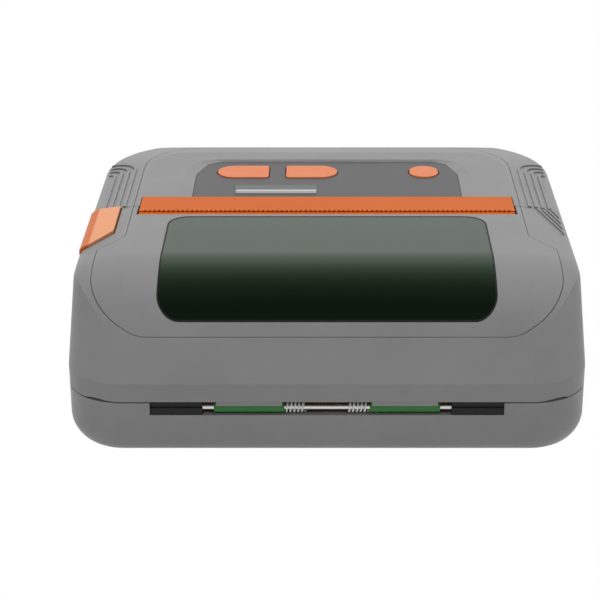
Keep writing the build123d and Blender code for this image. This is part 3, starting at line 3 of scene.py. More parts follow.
import bmesh
import bpy
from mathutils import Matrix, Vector


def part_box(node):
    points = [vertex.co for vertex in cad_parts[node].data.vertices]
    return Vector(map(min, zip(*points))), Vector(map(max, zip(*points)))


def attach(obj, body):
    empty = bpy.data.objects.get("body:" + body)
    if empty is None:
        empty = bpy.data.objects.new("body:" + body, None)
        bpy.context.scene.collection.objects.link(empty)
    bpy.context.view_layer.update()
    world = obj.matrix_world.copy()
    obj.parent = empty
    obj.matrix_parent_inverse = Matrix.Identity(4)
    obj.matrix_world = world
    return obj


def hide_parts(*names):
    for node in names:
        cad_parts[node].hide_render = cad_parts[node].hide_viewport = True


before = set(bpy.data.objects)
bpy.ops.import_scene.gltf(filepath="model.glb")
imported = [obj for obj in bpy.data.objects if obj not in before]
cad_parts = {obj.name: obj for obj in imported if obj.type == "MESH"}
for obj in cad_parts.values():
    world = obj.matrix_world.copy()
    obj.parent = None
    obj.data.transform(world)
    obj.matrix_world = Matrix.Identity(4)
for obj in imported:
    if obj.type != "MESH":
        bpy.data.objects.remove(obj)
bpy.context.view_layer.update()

bl_info = {
    "name": "Mobile label printer",
    "version": (1, 0, 0),
    "blender": (4, 5, 0),
    "location": "View3D > Sidebar > Printer",
    "description": "Finishes and fine pieces of a mobile label printer round its packed frame",
    "category": "Object",
}

MM = 0.001

# The photograph's width, and how far right of its middle the printer's centre line stands.
PHOTO_WIDTH_PX = 600
AXIS_PAST_CENTRE_PX = 27

# The lid's crown as the CAD has it: its radius, and where its arc starts.
CROWN_RADIUS = 33.0 * MM
CROWN_START_Y = -35.6 * MM

# The gasket line: its corners, its height, how far its middle lies inside the window's edge as a
# share of its width, and how finely its path is divided.
GASKET_CORNER = 6.3 * MM
GASKET_HEIGHT = 0.12 * MM
GASKET_INSET = 0.1
CORNER_STEPS = 10
EDGE_STEP = 2 * MM

# Points in one turn of a torsion spring, and round its wire.
COIL_STEPS = 28
WIRE_SIDES = 14

# The housing screws: the head's sides, the cross recess's length as a share of the head's radius, and
# where the CAD has the far and the near pair. A box read from its facets would be 0.007 mm short.
HEAD_SIDES = 32
RECESS_SPAN = 1.1
SCREW_FAR_X = 63.2 * MM
SCREW_FAR_Y = 12.0 * MM
SCREW_NEAR_X = 62.0 * MM
SCREW_NEAR_Y = -42.0 * MM

# The moulded plastics: size of the melt's broad unevenness, and how far tone and gloss vary.
FLOW_MM = 18.0
TONE_SPREAD = 0.03
GLOSS_SPREAD = 0.03

# The stage: the floor, what the lights and the camera face, and the lights' places and sizes.
FLOOR_HALF = 6.0
FLOOR_DROP = 0.1 * MM
LIT_POINT = (0.0, 0.0, 0.03)
TOP_LIGHT_PLACE = (0.0, 0.35, 1.6)
TOP_LIGHT_SIZE = (1.4, 1.4)
FRONT_LIGHT_PLACE = (0.0, -1.2, 0.9)
FRONT_LIGHT_SIZE = (1.2, 0.6)
CAMERA_PAST = (0.0, 0.003, 0.0)
CAMERA_CLIP_END = 50.0


def box_of(node):
    """A node's lowest and highest corners at rest, in metres."""
    low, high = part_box(node)
    return Vector(low), Vector(high)


SPRING_LOW, SPRING_HIGH = box_of("hinge_spring_right")
SHAFT_LOW, SHAFT_HIGH = box_of("hinge_shaft")
LENS_LOW, LENS_HIGH = box_of("window_lens")


class PrinterColours(bpy.types.PropertyGroup):
    """Colours of the mouldings, as sRGB hex."""

    body: bpy.props.StringProperty(
        name="Body", description="Grey of the moulded shells", default="979797")
    panel: bpy.props.StringProperty(
        name="Panel", description="Grey of the recessed key panel", default="5d5d5d")
    orange: bpy.props.StringProperty(name="Orange", description="Tear bar's orange", default="e36e22")
    lever: bpy.props.StringProperty(name="Lever", description="Release lever's orange", default="ffb184")
    # The lever's side colour is painted shade: a deeper orange laid along its outer side.
    lever_side_shade: bpy.props.StringProperty(
        name="Lever side", description="Lever's deeper outer side", default="e87a40")
    key: bpy.props.StringProperty(name="Keys", description="Keys' pale orange", default="f79468")
    window: bpy.props.StringProperty(name="Window", description="Tinted window's green", default="0c120c")
    light_bar: bpy.props.StringProperty(
        name="Light bar", description="Smoky top of the status light bar", default="6a6e6b")


class PrinterSizes(bpy.types.PropertyGroup):
    """Sizes of the pieces that are made here."""

    wire_radius: bpy.props.FloatProperty(
        name="Spring wire radius", description="Radius of the torsion springs' wire", default=0.27 * MM,
        min=0.05 * MM, unit="LENGTH")
    spring_turns: bpy.props.IntProperty(
        name="Spring turns", description="Turns of each torsion spring", default=5, min=1, max=20)
    rim_width: bpy.props.FloatProperty(
        name="Rim width", description="Width of the window's gasket line", default=0.5 * MM, min=0.1 * MM,
        unit="LENGTH")
    screw_head_radius: bpy.props.FloatProperty(
        name="Screw head radius", description="Radius of a housing screw's head", default=2.5 * MM,
        min=0.5 * MM, unit="LENGTH")
    screw_head_height: bpy.props.FloatProperty(
        name="Screw head height", description="Height of a housing screw's head", default=1.6 * MM,
        min=0.5 * MM, unit="LENGTH")
    screw_recess: bpy.props.FloatProperty(
        name="Screw recess", description="Width of one arm of the screw's cross recess", default=0.7 * MM,
        min=0.1 * MM, unit="LENGTH")
    camera_distance: bpy.props.FloatProperty(
        name="Camera distance", description="From the camera to the point that it looks past", default=0.58,
        min=0.1, unit="LENGTH")
    camera_tilt: bpy.props.FloatProperty(
        name="Camera height angle", description="Angle of the camera above the table", default=radians(25.0),
        subtype="ANGLE")
    camera_rise: bpy.props.FloatProperty(
        name="Camera rise", description="Angle that the camera aims above the point that it looks past",
        default=0.02871, subtype="ANGLE")
    camera_lens: bpy.props.FloatProperty(
        name="Camera lens", description="Focal length in mm", default=108.0, min=10.0, unit="CAMERA")
    top_light: bpy.props.FloatProperty(
        name="Top light", description="Power of the light overhead", default=17.0, min=0.0, unit="POWER")
    front_light: bpy.props.FloatProperty(
        name="Front light", description="Power of the light in front", default=2.2, min=0.0, unit="POWER")


def linear(hex_colour):
    """An sRGB hex colour as linear red, green, blue and alpha."""
    channels = [int(hex_colour[i:i + 2], 16) / 255 for i in (0, 2, 4)]
    return tuple(c / 12.92 if c <= 0.04045 else ((c + 0.055) / 1.055) ** 2.4 for c in channels) + (1.0,)


def add_node(tree, kind, settings=None, inputs=None):
    """Adds one node. An input is given by name or number, as a value or as the socket it comes from."""
    made = tree.nodes.new(kind)
    for name, value in (settings or {}).items():
        setattr(made, name, value)
    for key, value in (inputs or {}).items():
        socket = made.inputs[key]
        if isinstance(value, bpy.types.NodeSocket):
            tree.links.new(value, socket)
        else:
            socket.default_value = value
    return made


def new_material(name):
    made = bpy.data.materials.new(name)
    made.use_nodes = True
    made.node_tree.nodes.clear()
    return made, made.node_tree


def close_material(tree, shader):
    add_node(tree, "ShaderNodeOutputMaterial", inputs={"Surface": shader.outputs[0]})


def object_position(tree):
    return add_node(tree, "ShaderNodeTexCoord").outputs["Object"]


def grain(tree, size_mm, detail=2.0):
    """Noise whose grains are about the given size across."""
    made = add_node(tree, "ShaderNodeTexNoise", inputs={
        "Vector": object_position(tree), "Scale": 1 / (size_mm * MM), "Detail": detail})
    return made.outputs[0]


def spread(tree, factor, low, high):
    """Maps 0.35 to 0.65 of a noise onto a range."""
    made = add_node(tree, "ShaderNodeMapRange", inputs={
        "Value": factor, "From Min": 0.35, "From Max": 0.65, "To Min": low, "To Max": high})
    return made.outputs[0]


def tint(tree, factor, dark, light):
    made = add_node(tree, "ShaderNodeMix", {"data_type": "RGBA"}, {"Factor": factor, 6: dark, 7: light})
    return made.outputs[2]


def shade(colour, factor):
    return tuple(c * factor for c in colour[:3]) + (1.0,)


def moulded(name, hex_colour, rough, grain_mm, relief_mm, ior=1.5, edge_mm=0.25, gloss=0.2):
    """Moulded plastic: a fine spark-eroded grain, slightly uneven gloss and softened edges."""
    made, tree = new_material(name)
    colour = linear(hex_colour)
    fine = grain(tree, grain_mm)
    broad = grain(tree, FLOW_MM, 3.0)
    edges = add_node(tree, "ShaderNodeBevel", {"samples": 6}, {"Radius": edge_mm * MM})
    bump = add_node(tree, "ShaderNodeBump", inputs={
        "Height": fine, "Distance": relief_mm * MM, "Strength": 0.6, "Normal": edges.outputs[0]})
    shader = add_node(tree, "ShaderNodeBsdfPrincipled", inputs={
        "Base Color": tint(tree, spread(tree, broad, 0, 1), shade(colour, 1 - TONE_SPREAD),
                           shade(colour, 1 + TONE_SPREAD)),
        "Roughness": spread(tree, fine, rough - GLOSS_SPREAD, rough + GLOSS_SPREAD),
        "IOR": ior, "Specular IOR Level": gloss, "Normal": bump.outputs[0]})
    close_material(tree, shader)
    return made


def moulded_abs(name, hex_colour):
    """Spark-textured moulded ABS: satin, with a fine even grain that breaks up its highlights."""
    return moulded(name, hex_colour, rough=0.42, grain_mm=0.35, relief_mm=0.012)


def polished_abs(name, hex_colour):
    """Moulded ABS from a finer tool: smoother and a little glossier than the shells."""
    return moulded(name, hex_colour, rough=0.36, grain_mm=0.25, relief_mm=0.006, gloss=0.06)


def painted_side_shade_abs(name, top_colour, side_colour):
    """Release lever's ABS: pale orange, with painted shade, a deeper orange band along the outer side where
    it turns down.
    """
    made = polished_abs(name, top_colour)
    tree = made.node_tree
    outer_x = box_of("release_lever")[0].x
    side_end = outer_x + 2.4 * MM
    top_start = outer_x + 3.0 * MM
    across = add_node(tree, "ShaderNodeSeparateXYZ", inputs={"Vector": object_position(tree)})
    # Painted shade: a mask by place across the piece turns the outer side deeper orange.
    outer = add_node(tree, "ShaderNodeMapRange", inputs={
        "Value": across.outputs["X"], "From Min": side_end, "From Max": top_start,
        "To Min": 1.0, "To Max": 0.0})
    shader = next(node for node in tree.nodes if node.type == "BSDF_PRINCIPLED")
    colour = tint(tree, outer.outputs[0], linear(top_colour), linear(side_colour))
    tree.links.new(colour, shader.inputs["Base Color"])
    return made


def tinted_acrylic(name, hex_colour):
    """Moulded tinted acrylic: dark, deep and glossy, with the faint waviness of a moulded pane."""
    made, tree = new_material(name)
    wave_mm = 14.0
    green_gloss = linear("b4ffb4")
    wave = grain(tree, wave_mm, 1.0)
    bump = add_node(tree, "ShaderNodeBump", inputs={"Height": wave, "Distance": 0.02 * MM, "Strength": 0.3})
    shader = add_node(tree, "ShaderNodeBsdfPrincipled", inputs={
        "Base Color": linear(hex_colour), "Roughness": 0.1, "IOR": 1.49,
        "Specular Tint": green_gloss, "Normal": bump.outputs[0]})
    close_material(tree, shader)
    return made


def frosted_polycarbonate_painted_glow(name, hex_colour):
    """Frosted polycarbonate: a smoky top with a thin pale near edge, white as a diffuser strip and
    brightened further by a painted highlight and a faint painted glow.
    """
    made, tree = new_material(name)
    near_y = box_of("light_bar")[0].y
    pale_end = near_y + 0.3 * MM
    smoky_start = near_y + 0.6 * MM
    # Painted highlight: the near edge turns pale and glows faintly, standing in for light on that face,
    # though the bar is no lamp.
    pale_edge_and_highlight = linear("d4d4d4")
    painted_glow_strength = 0.22
    along = add_node(tree, "ShaderNodeSeparateXYZ", inputs={"Vector": object_position(tree)})
    edge = add_node(tree, "ShaderNodeMapRange", inputs={
        "Value": along.outputs["Y"], "From Min": pale_end, "From Max": smoky_start,
        "To Min": 1.0, "To Max": 0.0})
    colour = tint(tree, edge.outputs[0], linear(hex_colour), pale_edge_and_highlight)
    glow = add_node(tree, "ShaderNodeMath", {"operation": "MULTIPLY"}, {0: edge.outputs[0], 1: painted_glow_strength})
    shader = add_node(tree, "ShaderNodeBsdfPrincipled", inputs={
        "Base Color": colour, "Roughness": 0.34, "IOR": 1.58, "Specular IOR Level": 0.15,
        "Emission Color": (1.0, 1.0, 1.0, 1.0), "Emission Strength": glow.outputs[0]})
    close_material(tree, shader)
    return made


def metal(name, hex_colour, rough, line_mm, along, relief_mm=0.004):
    """A worked metal: fine lines across the cutting direction in its gloss and relief."""
    made, tree = new_material(name)
    colour = linear(hex_colour)
    line_stretch = 0.04
    stretch = [1.0, 1.0, 1.0]
    stretch[along] = line_stretch
    place = add_node(tree, "ShaderNodeMapping", inputs={"Vector": object_position(tree), "Scale": stretch})
    lines = add_node(tree, "ShaderNodeTexNoise", inputs={
        "Vector": place.outputs[0], "Scale": 1 / (line_mm * MM), "Detail": 2.0}).outputs[0]
    bump = add_node(tree, "ShaderNodeBump", inputs={
        "Height": lines, "Distance": relief_mm * MM, "Strength": 0.5})
    shader = add_node(tree, "ShaderNodeBsdfPrincipled", inputs={
        "Base Color": tint(tree, lines, shade(colour, 0.93), colour), "Metallic": 1.0,
        "Roughness": spread(tree, lines, rough - 0.06, rough + 0.06), "Normal": bump.outputs[0]})
    close_material(tree, shader)
    return made


def ground_steel():
    """Ground steel shaft: bright, with fine rings left by the grinding wheel."""
    return metal("ground_steel", "c9c9c6", rough=0.22, line_mm=0.12, along=1)


def zinc_plated_steel():
    """Zinc-plated sheet steel: cool grey with a faint rolling direction."""
    return metal("zinc_plated_steel", "a9adb0", rough=0.38, line_mm=0.3, along=0)


def machined_aluminium():
    """Machined aluminium: pale, with straight cutter lines."""
    return metal("machined_aluminium", "c4c6c8", rough=0.34, line_mm=0.25, along=0)


def copper_plated_steel():
    """Copper-plated spring steel: warm brown and softly worn."""
    return metal("copper_plated_steel", "e09a58", rough=0.4, line_mm=0.5, along=0)


def nitrile_rubber():
    """Ground nitrile rubber: nearly black, dull, with a powdery fine grain."""
    return moulded("nitrile_rubber", "1c1c1c", rough=0.78, grain_mm=0.2, relief_mm=0.02, ior=1.52)


def black_acetal():
    """Moulded black acetal: dark and waxy."""
    return moulded("black_acetal", "222222", rough=0.4, grain_mm=0.3, relief_mm=0.008, ior=1.48)


def natural_acetal():
    """Moulded natural acetal: ivory white and waxy."""
    return moulded("natural_acetal", "dcdad0", rough=0.38, grain_mm=0.3, relief_mm=0.006,
                   ior=1.48, edge_mm=0.08)


def green_acetal():
    """Moulded green acetal sleeve: waxy, with a soft highlight along its length."""
    return moulded("green_acetal", "3f7f42", rough=0.34, grain_mm=0.3, relief_mm=0.006,
                   ior=1.48, edge_mm=0.1)


def coated_wire():
    """Powder-coated spring wire: white, with a slight orange-peel surface."""
    return moulded("coated_wire", "e9ece9", rough=0.36, grain_mm=0.25, relief_mm=0.01, edge_mm=0.05)


def coated_laminate():
    """Solder-masked glass laminate: deep green and semi-gloss over a faint weave."""
    made, tree = new_material("coated_laminate")
    weave_mm = 1.2
    weave = add_node(tree, "ShaderNodeTexWave", inputs={
        "Vector": object_position(tree), "Scale": 1 / (weave_mm * MM * 2 * pi), "Distortion": 0.4})
    bump = add_node(tree, "ShaderNodeBump", inputs={
        "Height": weave.outputs[1], "Distance": 0.01 * MM, "Strength": 0.4})
    shader = add_node(tree, "ShaderNodeBsdfPrincipled", inputs={
        "Base Color": tint(tree, weave.outputs[1], linear("0f4a24"), linear("145a2c")),
        "Roughness": 0.3, "Normal": bump.outputs[0]})
    close_material(tree, shader)
    return made


def gasket_rubber():
    """Thin black gasket cord round the window: dull and slightly soft at its edge."""
    return moulded("gasket_rubber", "1a1d1a", rough=0.5, grain_mm=0.2, relief_mm=0.01,
                   ior=1.52, edge_mm=0.05)


def dress(material, *nodes):
    """Gives carried-over CAD nodes a finish."""
    for name in nodes:
        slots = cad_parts[name].material_slots
        for one in slots:
            one.material = material


def mesh_object(name, mesh):
    made = bpy.data.objects.new(name, mesh)
    bpy.context.scene.collection.objects.link(made)
    return made


def new_tree(name, *labels):
    """A geometry node tree with a named number input for each label."""
    tree = bpy.data.node_groups.new(name, "GeometryNodeTree")
    tree.interface.new_socket("Geometry", in_out="INPUT", socket_type="NodeSocketGeometry")
    for label in labels:
        tree.interface.new_socket(label, in_out="INPUT", socket_type="NodeSocketFloat")
    tree.interface.new_socket("Geometry", in_out="OUTPUT", socket_type="NodeSocketGeometry")
    return tree, add_node(tree, "NodeGroupInput").outputs


def close_tree(tree, geometry, material):
    """Ends a tree in Realize Instances and Set Material."""
    real = add_node(tree, "GeometryNodeRealizeInstances", inputs={"Geometry": geometry})
    done = add_node(tree, "GeometryNodeSetMaterial", inputs={
        "Geometry": real.outputs[0], "Material": material})
    add_node(tree, "NodeGroupOutput", inputs={"Geometry": done.outputs[0]})


def grow(name, points, edges, tree, values):
    """Runs a tree on a small mesh of points and edges and keeps its result as a plain mesh."""
    seed = bpy.data.meshes.new(name + "_seed")
    seed.from_pydata(points, edges, [])
    piece = mesh_object(name, seed)
    modifier = piece.modifiers.new("build", "NODES")
    modifier.node_group = tree
    for item in tree.interface.items_tree:
        if item.item_type == "SOCKET" and item.in_out == "INPUT" and item.name in values:
            modifier[item.identifier] = values[item.name]
    evaluated = piece.evaluated_get(bpy.context.evaluated_depsgraph_get())
    result = bpy.data.meshes.new_from_object(evaluated)
    piece.modifiers.clear()
    piece.data = result
    result.name = name
    bpy.data.meshes.remove(seed)
    return piece


def crown_height(y):
    """Height of the lid's upper surface along its length, from the lens's own box."""
    run = min(0.0, y - CROWN_START_Y)
    return LENS_HIGH.z - (CROWN_RADIUS - sqrt(CROWN_RADIUS ** 2 - run ** 2))


def window_outline(inset, corner):
    """Points round the window's edge on the curved lid, with round corners."""
    x = LENS_HIGH.x - inset
    far = LENS_HIGH.y - inset
    near = LENS_LOW.y + inset
    centres = [(x - corner, far - corner, 0), (corner - x, far - corner, 90),
               (corner - x, near + corner, 180), (x - corner, near + corner, 270)]
    points = []
    for cx, cy, start in centres:
        for step in range(CORNER_STEPS + 1):
            angle = radians(start + 90 * step / CORNER_STEPS)
            points.append((cx + corner * cos(angle), cy + corner * sin(angle)))
    filled = []
    for (x0, y0), (x1, y1) in zip(points, points[1:] + points[:1]):
        pieces = max(1, round(abs(y1 - y0) / EDGE_STEP))
        filled += [(x0 + (x1 - x0) * i / pieces, y0 + (y1 - y0) * i / pieces) for i in range(pieces)]
    return [(px, py, crown_height(py)) for px, py in filled]


class PRINTER_OT_finishes(bpy.types.Operator):
    """Give every carried-over node its finish"""

    bl_idname = "printer.finishes"
    bl_label = "Finishes"

    def execute(self, context):
        colours = context.scene.printer_colours
        body = moulded_abs("moulded_abs_body", colours.body)
        panel = moulded_abs("moulded_abs_panel", colours.panel)
        black = black_acetal()
        steel = ground_steel()
        acetal = natural_acetal()
        laminate = coated_laminate()
        rubber = nitrile_rubber()
        green = green_acetal()
        wire = coated_wire()
        dress(body, "lower_housing", "far_housing", "control_top", "lid_shell", "lid_top",
              "battery_cover")
        dress(panel, "control_panel", "platen_holder", "paper_bin",
              "roll_holder_left", "roll_holder_right")
        dress(tinted_acrylic("tinted_acrylic", colours.window), "window_lens")
        dress(polished_abs("polished_abs_tear_bar", colours.orange), "tear_bar")
        dress(painted_side_shade_abs("polished_abs_lever_side_shade", colours.lever, colours.lever_side_shade), "release_lever")
        dress(polished_abs("polished_abs_keys", colours.key),
              "feed_button", "pause_button", "power_button")
        dress(frosted_polycarbonate_painted_glow("frosted_polycarbonate_painted_glow", colours.light_bar), "light_bar")
        dress(black, "battery_pack", "hinge_end_left", "hinge_end_right", "paper_sensor", "latch_hooks",
              "platen_bush_left", "platen_bush_right")
        dress(steel, "hinge_shaft", "lever_pin", "platen_shaft", "housing_screws", "data_port",
              "head_springs")
        dress(zinc_plated_steel(), "main_frame", "motor")
        dress(machined_aluminium(), "print_head", "head_bracket")
        dress(green, "hinge_sleeve_left", "hinge_sleeve_right")
        dress(copper_plated_steel(), "hinge_trough")
        dress(wire, "hinge_spring_left", "hinge_spring_right")
        dress(rubber, "feet", "platen_rubber", "port_cover")
        dress(acetal, "platen_gear", "idler_gear", "motor_pinion")
        dress(laminate, "main_board", "button_board")
        return {"FINISHED"}


class PRINTER_OT_window_gasket(bpy.types.Operator):
    """Make the gasket line round the window"""

    bl_idname = "printer.window_gasket"
    bl_label = "Window gasket"

    def execute(self, context):
        sizes = context.scene.printer_sizes
        tree, inputs = new_tree("gasket_line", "Width", "Height")
        path = add_node(tree, "GeometryNodeMeshToCurve", inputs={"Mesh": inputs["Geometry"]})
        profile = add_node(tree, "GeometryNodeCurvePrimitiveQuadrilateral", inputs={
            "Width": inputs["Width"], "Height": inputs["Height"]})
        tube = add_node(tree, "GeometryNodeCurveToMesh", inputs={
            "Curve": path.outputs[0], "Profile Curve": profile.outputs[0]})
        close_tree(tree, tube.outputs[0], gasket_rubber())
        points = window_outline(sizes.rim_width * GASKET_INSET, GASKET_CORNER)
        edges = [(i, (i + 1) % len(points)) for i in range(len(points))]
        rim = grow("window_gasket", points, edges, tree, {"Width": sizes.rim_width, "Height": GASKET_HEIGHT})
        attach(rim, "lid")
        return {"FINISHED"}


class PRINTER_OT_springs(bpy.types.Operator):
    """Wind the two torsion springs beside the hinge sleeves"""

    bl_idname = "printer.springs"
    bl_label = "Torsion springs"

    def execute(self, context):
        sizes = context.scene.printer_sizes
        tree, inputs = new_tree("coil_wire", "Turns", "Mean Radius", "Length", "Wire Radius")
        spiral = add_node(tree, "GeometryNodeCurveSpiral", inputs={
            "Resolution": COIL_STEPS, "Rotations": inputs["Turns"], "Start Radius": inputs["Mean Radius"],
            "End Radius": inputs["Mean Radius"], "Height": inputs["Length"]})
        wire = add_node(tree, "GeometryNodeCurvePrimitiveCircle", inputs={
            "Resolution": WIRE_SIDES, "Radius": inputs["Wire Radius"]})
        tube = add_node(tree, "GeometryNodeCurveToMesh", inputs={
            "Curve": spiral.outputs[0], "Profile Curve": wire.outputs[0], "Fill Caps": True})
        laid = add_node(tree, "GeometryNodeTransform", inputs={
            "Geometry": tube.outputs[0], "Rotation": (0.0, pi / 2, 0.0)})
        shaded = add_node(tree, "GeometryNodeSetShadeSmooth", inputs={0: laid.outputs[0]})
        placed = add_node(tree, "GeometryNodeInstanceOnPoints", inputs={
            "Points": inputs["Geometry"], "Instance": shaded.outputs[0]})
        close_tree(tree, placed.outputs[0], coated_wire())
        radius = (SPRING_HIGH.y - SPRING_LOW.y) / 2 - sizes.wire_radius
        length = SPRING_HIGH.x - SPRING_LOW.x - 4 * sizes.wire_radius
        for side in ("left", "right"):
            low, high = box_of("hinge_spring_" + side)
            middle = (low + high) / 2
            axis = (SHAFT_LOW + SHAFT_HIGH) / 2
            start = (middle.x - length / 2, axis.y, axis.z)
            coil = grow("hinge_coil_" + side, [start], [], tree, {
                "Turns": float(sizes.spring_turns), "Mean Radius": radius, "Length": length,
                "Wire Radius": sizes.wire_radius})
            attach(coil, "base")
            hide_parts("hinge_spring_" + side)
        return {"FINISHED"}


class PRINTER_OT_screws(bpy.types.Operator):
    """Cut a cross recess into each housing screw's head"""

    bl_idname = "printer.screws"
    bl_label = "Housing screws"

    def execute(self, context):
        sizes = context.scene.printer_sizes
        radius = sizes.screw_head_radius
        height = sizes.screw_head_height
        tree, inputs = new_tree("recessed_screws", "Head Radius", "Head Height", "Recess Width")
        head = add_node(tree, "GeometryNodeMeshCylinder", {"fill_type": "NGON"}, {
            "Vertices": HEAD_SIDES, "Radius": inputs["Head Radius"], "Depth": inputs["Head Height"]})
        across = add_node(tree, "ShaderNodeMath", {"operation": "MULTIPLY"}, {
            0: inputs["Head Radius"], 1: RECESS_SPAN})
        bars = []
        for flip in (False, True):
            pair = (inputs["Recess Width"], across.outputs[0])
            size = add_node(tree, "ShaderNodeCombineXYZ", inputs={
                "X": pair[1] if flip else pair[0], "Y": pair[0] if flip else pair[1],
                "Z": inputs["Head Height"]})
            bar = add_node(tree, "GeometryNodeMeshCube", inputs={"Size": size.outputs[0]})
            bars.append(add_node(tree, "GeometryNodeTransform", inputs={
                "Geometry": bar.outputs[0], "Translation": (0.0, 0.0, -height / 2)}).outputs[0])
        cut = add_node(tree, "GeometryNodeMeshBoolean", {"operation": "DIFFERENCE"}, {
            0: head.outputs["Mesh"]})
        for bar in bars:
            tree.links.new(bar, cut.inputs[1])
        placed = add_node(tree, "GeometryNodeInstanceOnPoints", inputs={
            "Points": inputs["Geometry"], "Instance": cut.outputs[0]})
        close_tree(tree, placed.outputs[0], ground_steel())
        z = box_of("housing_screws")[0].z + height / 2
        pairs = ((SCREW_FAR_X, SCREW_FAR_Y), (SCREW_NEAR_X, SCREW_NEAR_Y))
        points = [(side * x, y, z) for x, y in pairs for side in (-1, 1)]
        screws = grow("screw_heads", points, [], tree, {
            "Head Radius": radius, "Head Height": height, "Recess Width": sizes.screw_recess})
        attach(screws, "base")
        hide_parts("housing_screws")
        return {"FINISHED"}


def flat_sheet(name, half, z):
    mesh = bpy.data.meshes.new(name)
    made = bmesh.new()
    signs = ((-1, -1), (1, -1), (1, 1), (-1, 1))
    made.faces.new([made.verts.new((x * half, y * half, z)) for x, y in signs])
    made.to_mesh(mesh)
    made.free()
    return mesh_object(name, mesh)


def floor_material():
    """Matt studio paper that bounces soft light and is plain white to the camera and in reflections."""
    made, tree = new_material("studio_paper")
    paper = add_node(tree, "ShaderNodeBsdfDiffuse", inputs={"Color": linear("f0f0f0")})
    glow = add_node(tree, "ShaderNodeEmission", inputs={"Color": (1, 1, 1, 1), "Strength": 1.0})
    rays = add_node(tree, "ShaderNodeLightPath")
    seen = add_node(tree, "ShaderNodeMath", {"operation": "MAXIMUM"}, {
        0: rays.outputs["Is Camera Ray"], 1: rays.outputs["Is Glossy Ray"]})
    seen = add_node(tree, "ShaderNodeMath", {"operation": "MAXIMUM"}, {
        0: seen.outputs[0], 1: rays.outputs["Is Transmission Ray"]})
    mix = add_node(tree, "ShaderNodeMixShader", inputs={
        0: seen.outputs[0], 1: paper.outputs[0], 2: glow.outputs[0]})
    close_material(tree, mix)
    return made


def area_light(name, place, target, size, power):
    data = bpy.data.lights.new(name, "AREA")
    data.shape = "RECTANGLE"
    data.size, data.size_y = size
    data.energy = power
    made = bpy.data.objects.new(name, data)
    bpy.context.scene.collection.objects.link(made)
    made.location = place
    made.rotation_euler = (Vector(target) - Vector(place)).to_track_quat("-Z", "Y").to_euler()
    return made


def studio_sky(tree):
    """White to the camera, a dim even light to matt surfaces, and a glow at the horizon for gloss."""
    rays = add_node(tree, "ShaderNodeLightPath")
    lean = radians(15.0)
    matt_level = 0.25
    glow_edge = 0.48
    brightest = 1.15
    dimmest = 0.12
    nearness = add_node(tree, "ShaderNodeVectorMath", {"operation": "DOT_PRODUCT"}, {
        0: add_node(tree, "ShaderNodeTexCoord").outputs["Generated"], 1: (0.0, -sin(lean), cos(lean))})
    glow = add_node(tree, "ShaderNodeMapRange", inputs={
        "Value": nearness.outputs["Value"], "From Min": glow_edge, "From Max": 1.0,
        "To Min": brightest, "To Max": dimmest})
    level = add_node(tree, "ShaderNodeMix", {"data_type": "FLOAT"}, {
        "Factor": rays.outputs["Is Glossy Ray"], 2: matt_level, 3: glow.outputs[0]})
    soft = add_node(tree, "ShaderNodeBackground", inputs={"Strength": level.outputs[0]})
    white = add_node(tree, "ShaderNodeBackground", inputs={"Strength": 1.0})
    soft.inputs["Color"].default_value = white.inputs["Color"].default_value = (1, 1, 1, 1)
    mix = add_node(tree, "ShaderNodeMixShader", inputs={
        0: rays.outputs["Is Camera Ray"], 1: soft.outputs[0], 2: white.outputs[0]})
    add_node(tree, "ShaderNodeOutputWorld", inputs={"Surface": mix.outputs[0]})


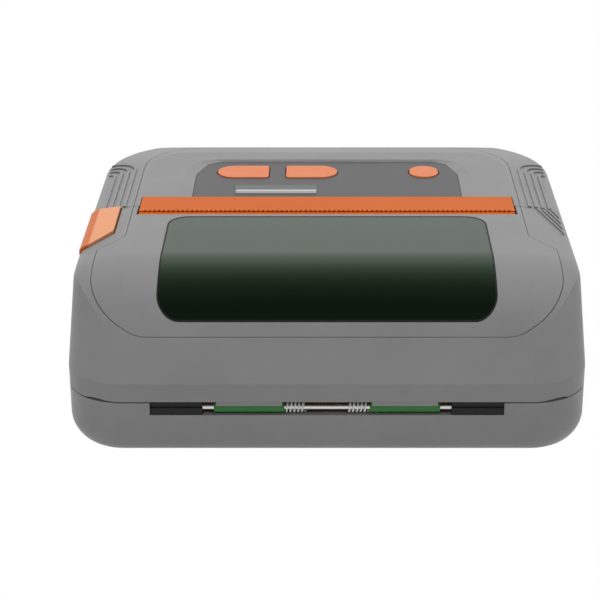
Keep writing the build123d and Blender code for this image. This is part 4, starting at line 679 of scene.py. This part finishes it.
class PRINTER_OT_stage(bpy.types.Operator):
    """Set the floor, the soft lights, the background and the camera"""

    bl_idname = "printer.stage"
    bl_label = "Stage"

    def execute(self, context):
        scene = context.scene
        sizes = scene.printer_sizes
        floor = flat_sheet("floor", FLOOR_HALF, -FLOOR_DROP)
        floor.data.materials.append(floor_material())
        world = bpy.data.worlds.new("studio")
        scene.world = world
        world.use_nodes = True
        world.node_tree.nodes.clear()
        studio_sky(world.node_tree)
        overhead = area_light("top_light", TOP_LIGHT_PLACE, LIT_POINT, TOP_LIGHT_SIZE, sizes.top_light)
        front = area_light("front_light", FRONT_LIGHT_PLACE, LIT_POINT, FRONT_LIGHT_SIZE, sizes.front_light)
        overhead.visible_glossy = front.visible_glossy = False
        data = bpy.data.cameras.new("camera")
        data.lens = sizes.camera_lens
        data.shift_x = -AXIS_PAST_CENTRE_PX / PHOTO_WIDTH_PX
        data.clip_end = CAMERA_CLIP_END
        camera = bpy.data.objects.new("camera", data)
        scene.collection.objects.link(camera)
        tilt = sizes.camera_tilt
        camera.location = Vector(CAMERA_PAST) + sizes.camera_distance * Vector((0.0, -cos(tilt), sin(tilt)))
        aim = tilt - sizes.camera_rise
        camera.rotation_euler = (pi / 2 - aim, 0.0, 0.0)
        scene.camera = camera
        scene.view_settings.view_transform = "Standard"
        return {"FINISHED"}


class PRINTER_PT_panel(bpy.types.Panel):
    """Lists the steps in the 3D view's sidebar"""

    bl_idname = "PRINTER_PT_panel"
    bl_label = "Mobile label printer"
    bl_space_type = "VIEW_3D"
    bl_region_type = "UI"
    bl_category = "Printer"

    def draw(self, context):
        for step in STEPS:
            self.layout.operator(step.bl_idname)
        for group in (context.scene.printer_colours, context.scene.printer_sizes):
            for name in group.__annotations__:
                self.layout.prop(group, name)


STEPS = (PRINTER_OT_stage, PRINTER_OT_finishes, PRINTER_OT_window_gasket, PRINTER_OT_springs,
         PRINTER_OT_screws)
CLASSES = (PrinterColours, PrinterSizes, *STEPS, PRINTER_PT_panel)


def register():
    for one in CLASSES:
        bpy.utils.register_class(one)
    bpy.types.Scene.printer_colours = bpy.props.PointerProperty(type=PrinterColours)
    bpy.types.Scene.printer_sizes = bpy.props.PointerProperty(type=PrinterSizes)


def unregister():
    del bpy.types.Scene.printer_sizes
    del bpy.types.Scene.printer_colours
    for one in reversed(CLASSES):
        bpy.utils.unregister_class(one)


def main():
    register()
    bpy.ops.printer.stage()
    bpy.ops.printer.finishes()
    bpy.ops.printer.window_gasket()
    bpy.ops.printer.springs()
    bpy.ops.printer.screws()


if __name__ == "__main__":
    main()
